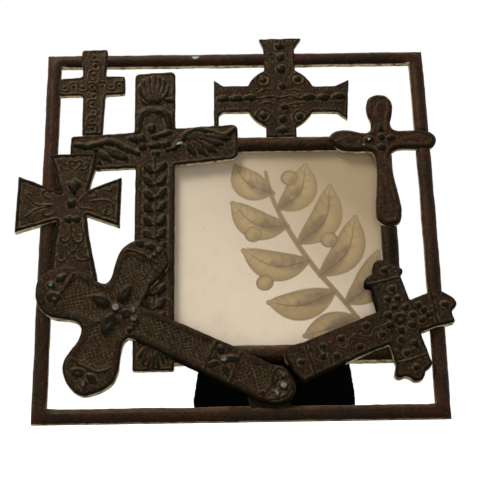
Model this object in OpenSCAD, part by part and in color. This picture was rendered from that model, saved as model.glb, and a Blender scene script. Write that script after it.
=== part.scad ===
// Picture frame made of seven cast crosses on an open square of bars, with a glazed
// window and a hinged easel strut behind. Millimetres.
//
// Everything is drawn lying flat: x to the right, y up the frame and z out of its
// front. z = 0 is the plane where the glass meets the window's lip, and y = 0 is the
// underside of the bottom bar. stand() then leans the whole frame back on its strut.

/* [Stance] */
// Lean of the frame back from upright, in degrees
lean = 15; // [10:1:20]

/* [Outer bars] */
// Side of the square made by the four bars
bar_side = 230; // [215:1:260]
// Width of a bar, seen from the front
bar_w = 8.3; // [6:0.1:10]
// Depth of a bar's straight sides
bar_flat = 3; // [2:0.1:5]
// Depth of a bar's rounded front
bar_crown = 2.4; // [1:0.1:3]
// How far the bars' flat backs lie behind the glass plane
bar_back = 1; // [0:0.1:2]
// Width of the flat edge beside the rounded front of a bar or rail
land = 0.3; // [0.2:0.1:0.6]

/* [Window] */
// Side of the square sight opening
window = 120.2; // [100:0.1:126]
// Gap between the window and the right bar's outer face
window_right = 32; // [28:0.5:40]
// Height of the window's lower edge
window_low = 43.3; // [38:0.1:50]
// Width of a window rail
rail_w = 9.6; // [8:0.1:12]
// How far a rail's lip laps over the glass
lip = 4; // [2:0.1:5]
// Height of a rail's rounded front above the glass plane
rail_front = 4; // [3:0.1:4.5]
// Height at which a rail's rounding starts
rail_side = 1; // [0.5:0.1:2]

/* [Glass, card and back] */
// Gap all round between the glass and the rebate
pane_gap = 0.4; // [0.1:0.1:1]
// Thickness of the glass
glass_t = 2; // [1.5:0.1:3]
// Thickness of the insert card
card_t = 0.3; // [0.2:0.1:0.6]
// Thickness of the backing board
board_t = 3; // [2:0.1:4]
// How far the rails stand out behind the backing board
rail_behind = 0.2; // [0.1:0.1:1]

/* [Easel strut] */
// Distance of the strut's hinge below the window's upper edge
hinge_drop = 11.5; // [8:0.5:20]
// How far the folded strut reaches below the bottom bar
strut_below = 3; // [0:0.5:6]
// Sideways place of the strut, from the middle of the window
strut_x = -1; // [-5:0.5:5]
// Width of the strut at its hinge
strut_top_w = 54; // [40:1:60]
// Width of the strut at its foot
strut_foot_w = 106; // [60:1:110]
// Radius of the strut's lower corners
strut_corner = 9; // [3:1:15]
// Thickness of the strut
strut_t = 2.4; // [1.5:0.1:4]
// Gap left between the strut's heels and the backing board when it is open
heel_gap = 0.25; // [0.1:0.05:0.5]

/* [Hinge] */
// Width of the hinge
hinge_w = 30; // [20:1:36]
// Length of each leaf
leaf_l = 14; // [10:1:18]
// Thickness of the leaves
leaf_t = 0.8; // [0.5:0.1:1.2]
// Outer radius of the knuckles
knuckle_r = 1.9; // [1.6:0.1:2.5]
// Radius of the hinge pin
pin_r = 1; // [0.7:0.1:1.2]
// Radial clearance of the pin in the strut's knuckle
pin_play = 0.05; // [0.02:0.01:0.1]
// Gap between neighbouring knuckles, and between knuckle and board
knuckle_gap = 0.4; // [0.3:0.05:0.8]
// Radius of a rivet's shank
rivet_r = 1.1; // [0.8:0.1:1.5]
// Radius of a rivet's head
rivet_head_r = 2; // [1.6:0.1:2.5]
// Height of a rivet's head
rivet_head_h = 0.9; // [0.5:0.1:1.2]
// Distance between neighbouring rivets
rivet_pitch = 10; // [7:0.5:12]
// Distance of the rivets from the leaf's end
rivet_end = 5.3; // [3:0.1:7]

/* [Turn buttons] */
// Distance from a button's screw to the end of its finger
button_reach = 11; // [9:0.5:14]
// Width of a button
button_w = 7; // [5:0.5:9]
// Width of the end of its finger
button_tip_w = 6; // [4:0.5:8]
// Thickness of a button
button_t = 1.2; // [0.8:0.1:2]
// Gap between a button and the pieces in front of and behind it
button_gap = 0.15; // [0.1:0.05:0.3]
// Height of the buttons above and below the window's middle
button_y = 31; // [20:1:45]
// Radius of a button screw's shank
screw_r = 1.25; // [1:0.05:1.5]
// Radial clearance of the shank in its button
screw_play = 0.1; // [0.03:0.01:0.1]
// Radius of a screw's head
screw_head_r = 2.6; // [2:0.1:3]
// Height of a screw's head
screw_head_h = 1.5; // [1:0.1:2]
// Depth of the screw's hole in its rail
screw_bite = 4.5; // [3:0.1:5]
// Width of the slot in a screw's head
slot_w = 0.8; // [0.5:0.1:1.2]
// Depth of the slot in a screw's head
slot_d = 0.7; // [0.4:0.1:1]

/* [Castings] */
// Back face of the lighter crosses
cross_back = 1; // [0.5:0.1:1.5]
// Front face of the lighter crosses
cross_front = 5.2; // [5:0.1:5.5]
// Front face of the cross with four flared arms
patte_front = 6.3; // [6:0.1:7]
// Front face of the two heavy crosses
heavy_front = 8.5; // [7.5:0.1:10]
// Width of the stepped edge round a light casting's front
step_w = 0.8; // [0.4:0.1:1.2]
// Width of the stepped edge round a heavy casting's front
heavy_step_w = 1.8; // [1:0.1:2.5]
// Depth of the stepped edges
step_d = 1; // [0.5:0.1:1.5]
// Radius of the light castings' corners and of the hollows between their arms
light_corner = 1.5; // [0.8:0.1:2]
// How far the room cut for a bar or rail runs past its mitres
mitre_past = 0.1; // [0.05:0.05:0.3]
// Radius of the heavy castings' corners
heavy_corner = 1; // [0.5:0.1:1.5]

/* [Scroll cross] */
// Distance of its middle from the outer faces of the left and top bars
scroll_at = [28.6, 21.2]; // [18:0.1:32]
// Width of its shaft
scroll_shaft_w = 13; // [11:0.1:15]
// Height of its arms
scroll_arm_h = 12.4; // [10:0.1:14]
// Reach of its left arm
scroll_left = 21.2; // [19:0.1:23]
// Reach of its right arm
scroll_right = 18.7; // [15:0.1:20]
// Reach of its head
scroll_up = 25.3; // [24:0.1:28]
// Width of its flared head
scroll_head_w = 15.8; // [13:0.1:18]

/* [Shell cross] */
// Width of its shaft
shell_shaft_w = 23.4; // [18:0.1:25]
// Width of its head
shell_head_w = 24.4; // [18:0.1:27]
// Height of its arms
shell_arm_h = 24; // [20:0.1:26]
// Height of the arms' middle above the window's upper edge
shell_arm_up = 2; // [0:0.1:4]
// Upward slope of its arms to the right, in degrees
shell_slope = 3.4; // [0:0.1:5]
// Reach of its right arm from the shaft's middle
shell_right = 49; // [40:0.5:55]
// Gap between its left arm's end and the left bar's outer face
shell_left_gap = 16; // [12:0.5:18]
// Gap between its head's end and the top bar's outer face
shell_top_gap = 13.2; // [11:0.1:18]
// How far its foot reaches below the window's lower edge
shell_foot = 15; // [12:0.1:20]

/* [Flared cross] */
// Distance of its middle from the left bar's outer face
patte_x = 19; // [16:0.1:22]
// Distance of its middle below the shell cross's arms
patte_drop = 35; // [32:0.1:38]
// Width of its arms at the middle
patte_w = 16.5; // [14:0.1:19]
// Reach and end width of its upper arm
patte_up = [31, 29]; // [25:0.1:35]
// Reach and end width of its left arm
patte_left = [33.8, 36.4]; // [28:0.1:42]
// Reach and end width of its right arm
patte_right = [28, 31.4]; // [24:0.1:36]
// End width of its lower arm, which runs under the lobed cross
patte_foot_w = 28; // [24:0.1:32]

/* [Lobed cross] */
// Distance of its middle from the left bar's outer face and from the bottom
lobed_at = [45, 65]; // [42:0.1:68]
// Slope of its long arm, in degrees
lobed_turn = -26.8; // [-30:0.1:-24]
// Width of its three short arms
lobed_arm_w = 22; // [18:0.1:25]
// Radius of its round lobes
lobe_r = 14.4; // [13:0.1:16]
// Distance of the upper lobe from the middle
lobe_up = 32; // [28:0.1:35]
// Distance of the left lobe from the middle
lobe_left = 32.4; // [30:0.1:35]
// How far the left lobe sits below its arm's middle line
lobe_left_sag = 4.6; // [0:0.1:6]
// Distance of the lower lobe from the middle
lobe_down = 37.5; // [33:0.1:40]
// How far the lower lobe sits beside its arm's middle line
lobe_down_side = 3.8; // [0:0.1:5]
// Corner of the filled crook between its left and lower arms, left of and below its middle
lobed_crook = [12, 17]; // [11:0.1:20]
// Width of its long arm
lobed_long_w = 20; // [16:0.1:22]
// Distance of the round foot from the middle
foot_at = 100; // [90:0.1:104]
// Radius of the round foot
foot_r = 9.8; // [9:0.1:11]
// Radius of the hollows between its arms
lobed_fillet = 5; // [2:0.1:6]
// Width of the cast web between the round foot and the bottom bar
web_w = 21; // [12:0.5:24]
// How far the web's middle lies left of the round foot's
web_side = 3.3; // [0:0.1:5]

/* [Disc cross] */
// Distance of its middle right of the window's middle
celtic_x = 4; // [-5:0.1:8]
// Distance of its middle below the top bar's outer face
celtic_drop = 32; // [30:0.1:34]
// Radius of its disc
celtic_disc_r = 21.3; // [18:0.1:23]
// Height of its arms
celtic_arm_h = 18.2; // [15:0.1:20]
// Width of its upright
celtic_shaft_w = 19; // [16:0.1:21]
// Reach of its left and right arms
celtic_arms = [41.1, 40.8]; // [36:0.1:44]
// Reach of its head
celtic_up = 42.4; // [38:0.1:46]
// How far its foot laps over the window's top rail
celtic_lap = 1.5; // [1:0.1:6]
// Width of its flared head
celtic_head_w = 27; // [22:0.1:30]
// Height of its arms' flared tips
celtic_tip_h = 28; // [24:0.1:30]
// Length of the flares
flare_l = 6; // [4:0.1:8]
// Width of the post that joins its lower left tip to the shell cross
post_w = 3; // [2:0.1:5]

/* [Teardrop cross] */
// Distance of its middle from the right bar's outer face
drop_x = 28.7; // [26:0.1:31]
// Height of its middle above the window's upper edge
drop_up = 5.7; // [4:0.1:8]
// Width of its arms' necks
drop_neck = 11.4; // [9:0.1:13]
// Distance and radius of the round end of its upper arm
drop_top = [22.5, 7.9]; // [6:0.1:26]
// Distance and radius of the round end of its left arm
drop_left = [24.6, 6.6]; // [5:0.1:28]
// Distance and radius of the round end of its right arm
drop_right = [26.2, 6.3]; // [5:0.1:30]
// Distance and radius of the drop at its foot
drop_foot = [47.4, 7.8]; // [6:0.1:50]
// Width of its lower arm's neck
drop_foot_neck = 8.4; // [6:0.1:11]
// How far the drop at the foot lies to the right
drop_foot_side = 1.8; // [0:0.1:3]
// Front face of the teardrop cross
drop_front = 6; // [5.5:0.1:7]

/* [Trefoil cross] */
// Distance of its middle from the right bar's outer face and from the bottom
botonny_at = [26.5, 54.5]; // [24:0.1:58]
// Slope of its long arm, in degrees
botonny_turn = 21.5; // [18:0.1:25]
// Lean of its cross arm, in degrees
botonny_lean = 10.3; // [0:0.1:20]
// Width of its long arm
botonny_long_w = 19.6; // [16:0.1:21]
// Width of its short arms
botonny_arm_w = 19.4; // [16:0.1:21]
// Distance from the middle to the tip of the long arm
botonny_long = 64; // [58:0.1:68]
// Distance from the middle to the tips of the upper, lower and right arms
botonny_short = [37, 35.6, 34.5]; // [30:0.1:40]
// Radius of the small round lobes at the ends
bud_r = 4.2; // [3:0.1:4.8]
// Length of a trefoil end
trefoil_l = 11; // [9:0.1:13]

/* [Hidden] */

$fn = 32;
fine = 64;
over = 1;

iron = "#4d3b34";
steel = "#9a9a98";
velvet = "#141413";

left = -bar_side / 2;
right = bar_side / 2;
window_x = right - window_right - window / 2;
window_y = window_low + window / 2;
window_top = window_low + window;
window_left = window_x - window / 2;
window_outer = window + 2 * rail_w;
hinge_y = window_top - hinge_drop;
bar_front = bar_flat + bar_crown - bar_back;

rebate = window + 2 * lip;
pane = rebate - 2 * pane_gap;
card_z = -glass_t - card_t;
board_z = card_z - board_t;
rail_z = board_z - rail_behind;

shell_x = window_left - shell_shaft_w / 2;
shell_y = window_top + shell_arm_up;
shell_left = shell_x - left - shell_left_gap;
shell_up = bar_side - shell_top_gap - shell_y;
scroll_pos = [left + scroll_at[0], bar_side - scroll_at[1]];
patte_pos = [left + patte_x, shell_y - patte_drop];
lobed_pos = [left + lobed_at[0], lobed_at[1]];
celtic_pos = [window_x + celtic_x, bar_side - celtic_drop];
drop_pos = [right - drop_x, window_top + drop_up];
botonny_pos = [right - botonny_at[0], botonny_at[1]];

// Where a point given in the lobed cross's own directions lies on the frame
function lobed_point(p) = lobed_pos + [p[0] * cos(lobed_turn) - p[1] * sin(lobed_turn),
                                       p[0] * sin(lobed_turn) + p[1] * cos(lobed_turn)];
left_lobe = [-lobe_left, -lobe_left_sag];
foot_y = lobed_point([foot_at, 0])[1];
patte_foot = patte_pos[1] - lobed_point(left_lobe)[1];

// Length of a cutter that passes through the board, the strut and the hinge
through = 2 * (board_t + strut_t + 2 * knuckle_r + over);

// The hinge's axis lies behind the board by a knuckle and its gap
axis_z = board_z - knuckle_gap - knuckle_r;
strut_len = hinge_y + strut_below;
strut_face = axis_z + knuckle_r / 2;
strut_front = strut_face - axis_z;
axis_height = hinge_y * cos(lean) + axis_z * sin(lean) + bar_back * sin(lean);
strut_open = lean + atan(strut_front / strut_len) + acos(axis_height / norm([strut_len, strut_front]));
heel = (board_z - axis_z - heel_gap - strut_front * cos(strut_open)) / sin(strut_open);
strut_mid = window_x + strut_x;
flare = atan((strut_foot_w - strut_top_w) / 2 / strut_len);

// Middle of the standing frame's box, so that the origin is below its middle
right_bud = [botonny_short[2] - bud_r, -bud_r];
x_low = patte_pos[0] - patte_left[0];
x_high = botonny_pos[0] + right_bud[0] * cos(botonny_turn) - right_bud[1] * sin(botonny_turn) + bud_r;
y_low = (foot_y - foot_r + heavy_step_w) * sin(lean) - heavy_front * cos(lean);
y_high = hinge_y * sin(lean) - axis_z * cos(lean) + strut_len * sin(strut_open - lean)
       + (strut_t - strut_front) * cos(strut_open - lean);

// Leans the frame back until the bottom bar's rear edge and the strut's foot both touch
module stand()
    translate([-(x_low + x_high) / 2, -(y_low + y_high) / 2, bar_back * sin(lean)])
        rotate([90 - lean, 0, 0]) children();

// One side of a square ring with mitred ends, as the profile it is given: the profile's
// x runs inward from the ring's outer edge and its y runs forward. A side that only cuts
// room out of a casting runs a little past its mitres, so that no skin is left there
module ring_side(side, w, mid, quarter, past = 0)
    translate([mid[0], mid[1], 0]) rotate(90 * quarter) translate([0, -side / 2, 0])
        intersection() {
            translate([-side / 2, 0, 0]) rotate([90, 0, 90]) linear_extrude(side) children();
            translate([0, 0, rail_z - over]) linear_extrude(heavy_front - rail_z + 2 * over)
                polygon([[-side / 2 - over - past, -over], [side / 2 + over + past, -over],
                         [side / 2 - w - over + past, w + over], [-side / 2 + w + over - past, w + over]]);
        }

// A strip of the given width whose front is an arc that rises from low to high between
// two narrow flat edges
module crowned(w, back, low, high) {
    rise = high - low;
    half = w / 2 - land;
    r = (half * half + rise * rise) / (2 * rise);
    translate([0, back]) square([w, low - back]);
    intersection() {
        translate([w / 2, high - r]) circle(r, $fn = fine);
        translate([0, low - land]) square([w, rise + land]);
    }
}

module bar_profile() crowned(bar_w, -bar_back, bar_flat - bar_back, bar_front);

module bar(quarter, past = 0)
    ring_side(bar_side, bar_w, [0, bar_side / 2], quarter, past) bar_profile();

module bars() for (quarter = [0:3]) bar(quarter, mitre_past);

// The rails' rebate: a step that opens to the back for the glass, card and board
module rebate_step() translate([rail_w - lip, rail_z - over]) square([lip + over, -rail_z + over]);

module rail_profile() difference() {
    crowned(rail_w, rail_z, rail_side, rail_front);
    rebate_step();
}

module flat_rail_profile() difference() {
    translate([0, rail_z]) square([rail_w, cross_back - rail_z]);
    rebate_step();
}

// Screw places on the two side rails: 1 and 2 on the left, 3 and 4 on the right
screw_off = window / 2 + lip + (rail_w - lip) / 2;
function screw_at(i) = [window_x + (i < 3 ? -screw_off : screw_off),
                        window_y + (i % 2 == 1 ? button_y : -button_y)];

module rail(quarter, past = 0)
    difference() {
        ring_side(window_outer, rail_w, [window_x, window_y], quarter, past) {
            if (quarter == 3) flat_rail_profile();
            else rail_profile();
        }
        for (i = [1:4]) translate([screw_at(i)[0], screw_at(i)[1], rail_z - over])
            cylinder(r = screw_r, h = screw_bite + over, $fn = fine);
    }

module rails() for (quarter = [0:3]) rail(quarter, mitre_past);

// Rounds an outline's outer corners to one radius and its inner corners to another
module rounded(corner, hollow)
    offset(r = -hollow) offset(delta = hollow) offset(r = corner) offset(delta = -corner) children();

// A cast plate with a stepped front edge
module plate(back, front, step) {
    translate([0, 0, back]) linear_extrude(front - step_d - back) children();
    translate([0, 0, back]) linear_extrude(front - back) offset(delta = -step) children();
}

// A straight arm from the origin along the given direction, with its own width at each end
module arm(turn, reach, w_in, w_out)
    rotate(turn) polygon([[0, -w_in / 2], [reach, -w_out / 2], [reach, w_out / 2], [0, w_in / 2]]);

module scroll_outline() translate(scroll_pos) rounded(light_corner, light_corner) {
    arm(180, scroll_left, scroll_arm_h, scroll_arm_h);
    arm(0, scroll_right, scroll_arm_h, scroll_arm_h);
    arm(90, scroll_up, scroll_shaft_w, scroll_head_w);
    arm(-90, scroll_pos[1] - shell_y, scroll_shaft_w, scroll_shaft_w);
}

module shell_outline() rounded(light_corner, light_corner) {
    translate([shell_x, shell_y]) {
        arm(180 + shell_slope, shell_left, shell_arm_h, shell_arm_h);
        arm(shell_slope, shell_right, shell_arm_h, shell_arm_h);
        arm(90, shell_up, shell_shaft_w, shell_head_w);
        arm(-90, shell_y - window_low + shell_foot, shell_shaft_w, shell_shaft_w);
    }
}

module patte_outline() translate(patte_pos) {
    arm(90, patte_up[0], patte_w, patte_up[1]);
    arm(180, patte_left[0], patte_w, patte_left[1]);
    arm(0, patte_right[0], patte_w, patte_right[1]);
    arm(-90, patte_foot, patte_w, patte_foot_w);
}

module lobed_outline() translate(lobed_pos) rotate(lobed_turn) rounded(heavy_corner, lobed_fillet) {
    arm(90, lobe_up, lobed_arm_w, lobed_arm_w);
    translate([0, lobe_up]) circle(lobe_r);
    arm(180, lobe_left, lobed_arm_w, lobed_arm_w);
    translate(left_lobe) circle(lobe_r);
    arm(-90, lobe_down, lobed_arm_w, lobed_arm_w);
    translate([lobe_down_side, -lobe_down]) circle(lobe_r);
    polygon([[0, 0], [-lobe_left, -lobe_left_sag - lobe_r + heavy_corner], -lobed_crook, [0, -2 * lobed_crook[1]]]);
    arm(0, foot_at, lobed_long_w, lobed_long_w);
    translate([foot_at, 0]) circle(foot_r);
}

module celtic_outline() translate(celtic_pos) {
    foot = celtic_pos[1] - window_top - rail_w + celtic_lap;
    circle(celtic_disc_r);
    arm(180, celtic_arms[0], celtic_arm_h, celtic_arm_h);
    arm(0, celtic_arms[1], celtic_arm_h, celtic_arm_h);
    arm(90, celtic_up, celtic_shaft_w, celtic_shaft_w);
    arm(-90, foot, celtic_shaft_w, celtic_shaft_w);
    for (side = [[180, celtic_arms[0], celtic_tip_h], [0, celtic_arms[1], celtic_tip_h],
                 [90, celtic_up, celtic_head_w]])
        rotate(side[0]) translate([side[1] - flare_l, 0]) arm(0, flare_l, celtic_arm_h, side[2]);
    translate([-celtic_arms[0], shell_y - celtic_pos[1]]) square([post_w, celtic_pos[1] - shell_y - celtic_tip_h / 3]);
}

// An arm that ends in a round: a neck that widens to the round's full width
module drop_arm(turn, end, neck, side = 0) rotate(turn) {
    polygon([[0, -neck / 2], [end[0], side - end[1]], [end[0], side + end[1]], [0, neck / 2]]);
    translate([end[0], side]) circle(end[1]);
}

module drop_outline() translate(drop_pos) rounded(light_corner, light_corner) {
    drop_arm(90, drop_top, drop_neck);
    drop_arm(180, drop_left, drop_neck);
    drop_arm(0, drop_right, drop_neck);
    drop_arm(-90, drop_foot, drop_foot_neck, drop_foot_side);
}

// A trefoil end: two side buds and a blunt tip
module trefoil(reach, w) {
    translate([reach - trefoil_l, -w / 2]) square([trefoil_l - bud_r, w]);
    for (side = [-1, 1]) {
        translate([reach - trefoil_l + bud_r, side * w / 2]) circle(bud_r);
        translate([reach - bud_r, side * bud_r]) circle(bud_r);
    }
    translate([reach - trefoil_l, -bud_r]) square([trefoil_l, 2 * bud_r]);
}

module botonny_outline() translate(botonny_pos) rounded(heavy_corner, heavy_corner) {
    short = botonny_arm_w;
    arm(180 + botonny_turn, botonny_long - bud_r, botonny_long_w, botonny_long_w);
    rotate(180 + botonny_turn) trefoil(botonny_long, botonny_long_w - 2 * bud_r);
    for (end = [[90 + botonny_lean, botonny_short[0]], [-90 + botonny_lean, botonny_short[1]],
                [botonny_turn, botonny_short[2]]]) {
        arm(end[0], end[1] - trefoil_l + over, short, short);
        rotate(end[0]) trefoil(end[1], short - bud_r);
    }
}

// The castings before what lies under them is cut away
module shell_plate() plate(cross_back, cross_front, step_w) shell_outline();
module patte_plate() plate(cross_back, patte_front, step_w) patte_outline();
module lobed_plate() {
    plate(cross_back, heavy_front, heavy_step_w) lobed_outline();
    translate([lobed_point([foot_at, 0])[0] - web_side - web_w / 2, bar_w / 2, cross_back])
        cube([web_w, foot_y - bar_w / 2, bar_flat - bar_back]);
}

// Clears the shell cross's whole outline, for the thin castings that end against it
module shell_room() translate([0, 0, cross_back - over])
    linear_extrude(cross_front - cross_back + 2 * over) shell_outline();

module top_bar() color(iron) stand() bar(2);
module bottom_bar() color(iron) stand() bar(0);
module left_bar() color(iron) stand() bar(3);
module right_bar() color(iron) stand() bar(1);
module top_rail() color(iron) stand() rail(2);
module bottom_rail() color(iron) stand() rail(0);
module left_rail() color(iron) stand() rail(3);
module right_rail() color(iron) stand() rail(1);

module scroll_cross() color(iron) stand() difference() {
    plate(cross_back, cross_front, step_w) scroll_outline();
    bars();
    shell_room();
}

module shell_cross() color(iron) stand() difference() {
    shell_plate();
    rails();
}

module patte_cross() color(iron) stand() difference() {
    patte_plate();
    bars();
    shell_plate();
}

module lobed_cross() color(iron) stand() difference() {
    lobed_plate();
    bars();
    rails();
    shell_plate();
    patte_plate();
}

module celtic_cross() color(iron) stand() difference() {
    plate(cross_back, cross_front, step_w) celtic_outline();
    bars();
    rails();
    shell_room();
}

module teardrop_cross() color(iron) stand() difference() {
    plate(cross_back, drop_front, step_w) drop_outline();
    bars();
    rails();
}

module botonny_cross() color(iron) stand() difference() {
    plate(cross_back, heavy_front, heavy_step_w) botonny_outline();
    bars();
    rails();
    lobed_plate();
}

// A square sheet in the rebate, from one depth to another
module sheet(low, high)
    translate([window_x - pane / 2, window_y - pane / 2, low]) cube([pane, pane, high - low]);

module glass_pane() color("lightblue", 0.35) stand() sheet(-glass_t, 0);
module photo_card() color("ivory") stand() sheet(card_z, -glass_t);

// Rivet places across a leaf, measured from the hinge's axis
module rivet_places() for (i = [-1:1]) translate([i * rivet_pitch, leaf_l - rivet_end, 0]) children();
module rivet_holes() rivet_places() cylinder(r = rivet_r, h = through, center = true, $fn = fine);

module at_hinge() translate([strut_mid, hinge_y, axis_z]) children();
module opened() at_hinge() rotate([strut_open, 0, 0]) children();

module backing_board() color(velvet) stand() difference() {
    sheet(board_z, card_z);
    at_hinge() rivet_holes();
}

// The strut's outline, with its hinge axis along y = 0 and its foot at -strut_len
function corner_arc(side) =
    let (y = -strut_len + strut_corner,
         x = strut_top_w / 2 - strut_corner / cos(flare) - y * tan(flare))
    [for (i = [0:8]) let (a = -90 + (90 + flare) * i / 8)
        [side * (x + strut_corner * cos(a)), y + strut_corner * sin(a)]];

module strut_outline() {
    top = strut_top_w / 2 - heel * tan(flare);
    polygon(concat([[-top, heel]], [for (i = [8:-1:0]) corner_arc(-1)[i]], corner_arc(1), [[top, heel]]));
}

module easel_strut() color(velvet) stand() opened() difference() {
    translate([0, 0, strut_front - strut_t]) linear_extrude(strut_t) difference() {
        strut_outline();
        notch = hinge_w + 2 * knuckle_gap;
        translate([-notch / 2, -knuckle_r - knuckle_gap])
            square([notch, knuckle_r + knuckle_gap + heel + over]);
    }
    mirror([0, 1, 0]) rivet_holes();
}

third = (hinge_w - 2 * knuckle_gap) / 3;

// A knuckle round the hinge's axis
module knuckle(x, w, hole)
    translate([x, 0, 0]) rotate([0, 90, 0]) difference() {
        cylinder(r = knuckle_r, h = w, $fn = fine);
        translate([0, 0, -over]) cylinder(r = hole, h = w + 2 * over, $fn = fine);
    }

module leaf_plate(low, tabs)
    difference() {
        union() {
            translate([-hinge_w / 2, knuckle_r + knuckle_gap, low])
                cube([hinge_w, leaf_l - knuckle_r - knuckle_gap, leaf_t]);
            for (x = tabs) translate([x, 0, low]) cube([third, leaf_l / 2, leaf_t]);
        }
        rivet_holes();
        rotate([0, 90, 0])
            cylinder(r = (knuckle_r + pin_r) / 2, h = hinge_w + 2 * over, center = true, $fn = fine);
    }

outer_tabs = [-hinge_w / 2, hinge_w / 2 - third];

module hinge_board_leaf() color(steel) stand() at_hinge() {
    leaf_plate(board_z - axis_z - leaf_t, outer_tabs);
    for (x = outer_tabs) knuckle(x, third, pin_r);
}

module hinge_strut_leaf() color(steel) stand() opened() {
    mirror([0, 1, 0]) leaf_plate(strut_front - strut_t - leaf_t, [-third / 2]);
    knuckle(-third / 2, third, pin_r + pin_play);
}

module hinge_pin() color(steel) stand() at_hinge()
    rotate([0, 90, 0]) cylinder(r = pin_r, h = hinge_w, center = true, $fn = fine);

// A rivet whose head sits on the leaf's rear face at z = 0 and whose shank runs forward
module rivet(shank) {
    r = (rivet_head_r * rivet_head_r + rivet_head_h * rivet_head_h) / (2 * rivet_head_h);
    cylinder(r = rivet_r, h = shank, $fn = fine);
    intersection() {
        translate([0, 0, r - rivet_head_h]) sphere(r, $fn = fine);
        translate([0, 0, -rivet_head_h]) cylinder(r = rivet_head_r + over, h = rivet_head_h, $fn = fine);
    }
}

module board_rivets() color(steel) stand() at_hinge()
    rivet_places() translate([0, 0, board_z - axis_z - leaf_t]) rivet(leaf_t + board_t);

module strut_rivets() color(steel) stand() opened()
    mirror([0, 1, 0]) rivet_places()
        translate([0, 0, strut_front - strut_t - leaf_t]) rivet(leaf_t + strut_t);

// A turn button lies on its rail and its finger laps over the backing board
button_z = rail_z - button_gap - button_t;
tip_r = button_tip_w / 2;

module turn_button(i) {
    inward = i < 3 ? 0 : 180;
    color(steel) stand() translate([screw_at(i)[0], screw_at(i)[1], button_z]) rotate(inward)
        linear_extrude(button_t) difference() {
            union() {
                circle(button_w / 2, $fn = fine);
                translate([button_reach - tip_r, 0]) circle(tip_r, $fn = fine);
                arm(0, button_reach - tip_r, button_w, 2 * tip_r);
            }
            circle(screw_r + screw_play, $fn = fine);
        }
}

module button_screws() color(steel) stand() for (i = [1:4])
    translate([screw_at(i)[0], screw_at(i)[1], button_z - button_gap]) difference() {
        union() {
            cylinder(r = screw_r, h = 2 * button_gap + button_t + screw_bite, $fn = fine);
            translate([0, 0, -screw_head_h]) cylinder(r = screw_head_r, h = screw_head_h, $fn = fine);
        }
        translate([-screw_head_r - over, -slot_w / 2, -screw_head_h - over])
            cube([2 * screw_head_r + 2 * over, slot_w, slot_d + over]);
    }

top_bar();
bottom_bar();
left_bar();
right_bar();
top_rail();
bottom_rail();
left_rail();
right_rail();
scroll_cross();
shell_cross();
patte_cross();
lobed_cross();
celtic_cross();
teardrop_cross();
botonny_cross();
glass_pane();
photo_card();
backing_board();
easel_strut();
hinge_board_leaf();
hinge_strut_leaf();
hinge_pin();
board_rivets();
strut_rivets();
turn_button(1);  // turn_button_1
turn_button(2);  // turn_button_2
turn_button(3);  // turn_button_3
turn_button(4);  // turn_button_4
button_screws();
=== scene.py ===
# %% [markdown]
# # A picture frame made of cast crosses
# Seven small cast-iron crosses lie over an open square of thin bars and round a glazed
# window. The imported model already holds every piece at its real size. This lesson gives
# the pieces their looks: the carving on the crosses, the uneven castings, the waxed
# patina, the printed card and the velvet back. It starts by loading the fixed frame.

# %% The fixed frame
import math

import bmesh
import bpy
import numpy as np
from mathutils import Matrix, Vector, noise


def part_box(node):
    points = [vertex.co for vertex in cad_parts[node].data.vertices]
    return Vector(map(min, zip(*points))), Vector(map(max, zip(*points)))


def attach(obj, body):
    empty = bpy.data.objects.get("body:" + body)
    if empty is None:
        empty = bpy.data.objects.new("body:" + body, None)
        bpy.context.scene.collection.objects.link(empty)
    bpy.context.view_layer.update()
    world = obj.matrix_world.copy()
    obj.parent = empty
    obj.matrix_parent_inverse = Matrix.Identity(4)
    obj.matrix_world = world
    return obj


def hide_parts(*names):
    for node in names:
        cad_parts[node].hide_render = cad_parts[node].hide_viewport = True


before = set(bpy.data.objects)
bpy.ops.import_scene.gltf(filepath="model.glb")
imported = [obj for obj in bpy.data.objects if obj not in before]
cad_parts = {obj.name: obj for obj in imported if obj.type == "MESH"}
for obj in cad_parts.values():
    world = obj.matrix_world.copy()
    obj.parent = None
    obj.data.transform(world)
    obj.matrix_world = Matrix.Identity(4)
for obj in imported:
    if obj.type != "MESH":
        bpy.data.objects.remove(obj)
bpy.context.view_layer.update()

# %% [markdown]
# ## The drawing board
# The frame leans back 15 degrees on its strut, which is an awkward way to draw it. So
# every piece is drawn lying flat, in millimetres: x runs to the right from the middle,
# y runs up the frame from the bottom bar and z comes out of its front, from the plane
# where the glass meets the window's lip. One matrix then stands the drawing up. Where
# the drawing lies is read from the bottom bar's solid, so nothing is fitted by eye.

# %% From the drawing board to the standing frame
LEAN = math.radians(15)
BAR_W = 8.3                     # width of an outer bar
BAR_BACK = 1.0                  # its flat back lies this far behind the glass plane

bar_low, bar_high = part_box("bottom_bar")
board_origin = Vector((
    (bar_low.x + bar_high.x) / 2,
    bar_high.y - (BAR_W * math.sin(LEAN) + BAR_BACK * math.cos(LEAN)) / 1000,
    bar_low.z + BAR_BACK * math.sin(LEAN) / 1000,
))
STAND = (Matrix.Translation(board_origin)
         @ Matrix.Rotation(math.pi / 2 - LEAN, 4, "X")
         @ Matrix.Scale(0.001, 4))
print("drawing's origin, mm:", [round(c * 1000, 3) for c in board_origin])

# %% [markdown]
# ## Camera, light and floor
# The photograph was taken from close to the table's height, a little from below the
# frame's middle, with a long lens. It has soft light from above and a white ground.
# The floor and the world are white to the camera, and to what glass and polish mirror,
# while the lamps stay at a plain level. So the ground is white and the iron stays dark.

# %% Small helpers for colours and nodes
def hex_colour(code):
    """An sRGB hex colour as the linear numbers that a shader socket takes."""
    parts = [int(code[i:i + 2], 16) / 255 for i in (1, 3, 5)]
    linear = [p / 12.92 if p <= 0.04045 else ((p + 0.055) / 1.055) ** 2.4 for p in parts]
    return (*linear, 1.0)


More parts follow.
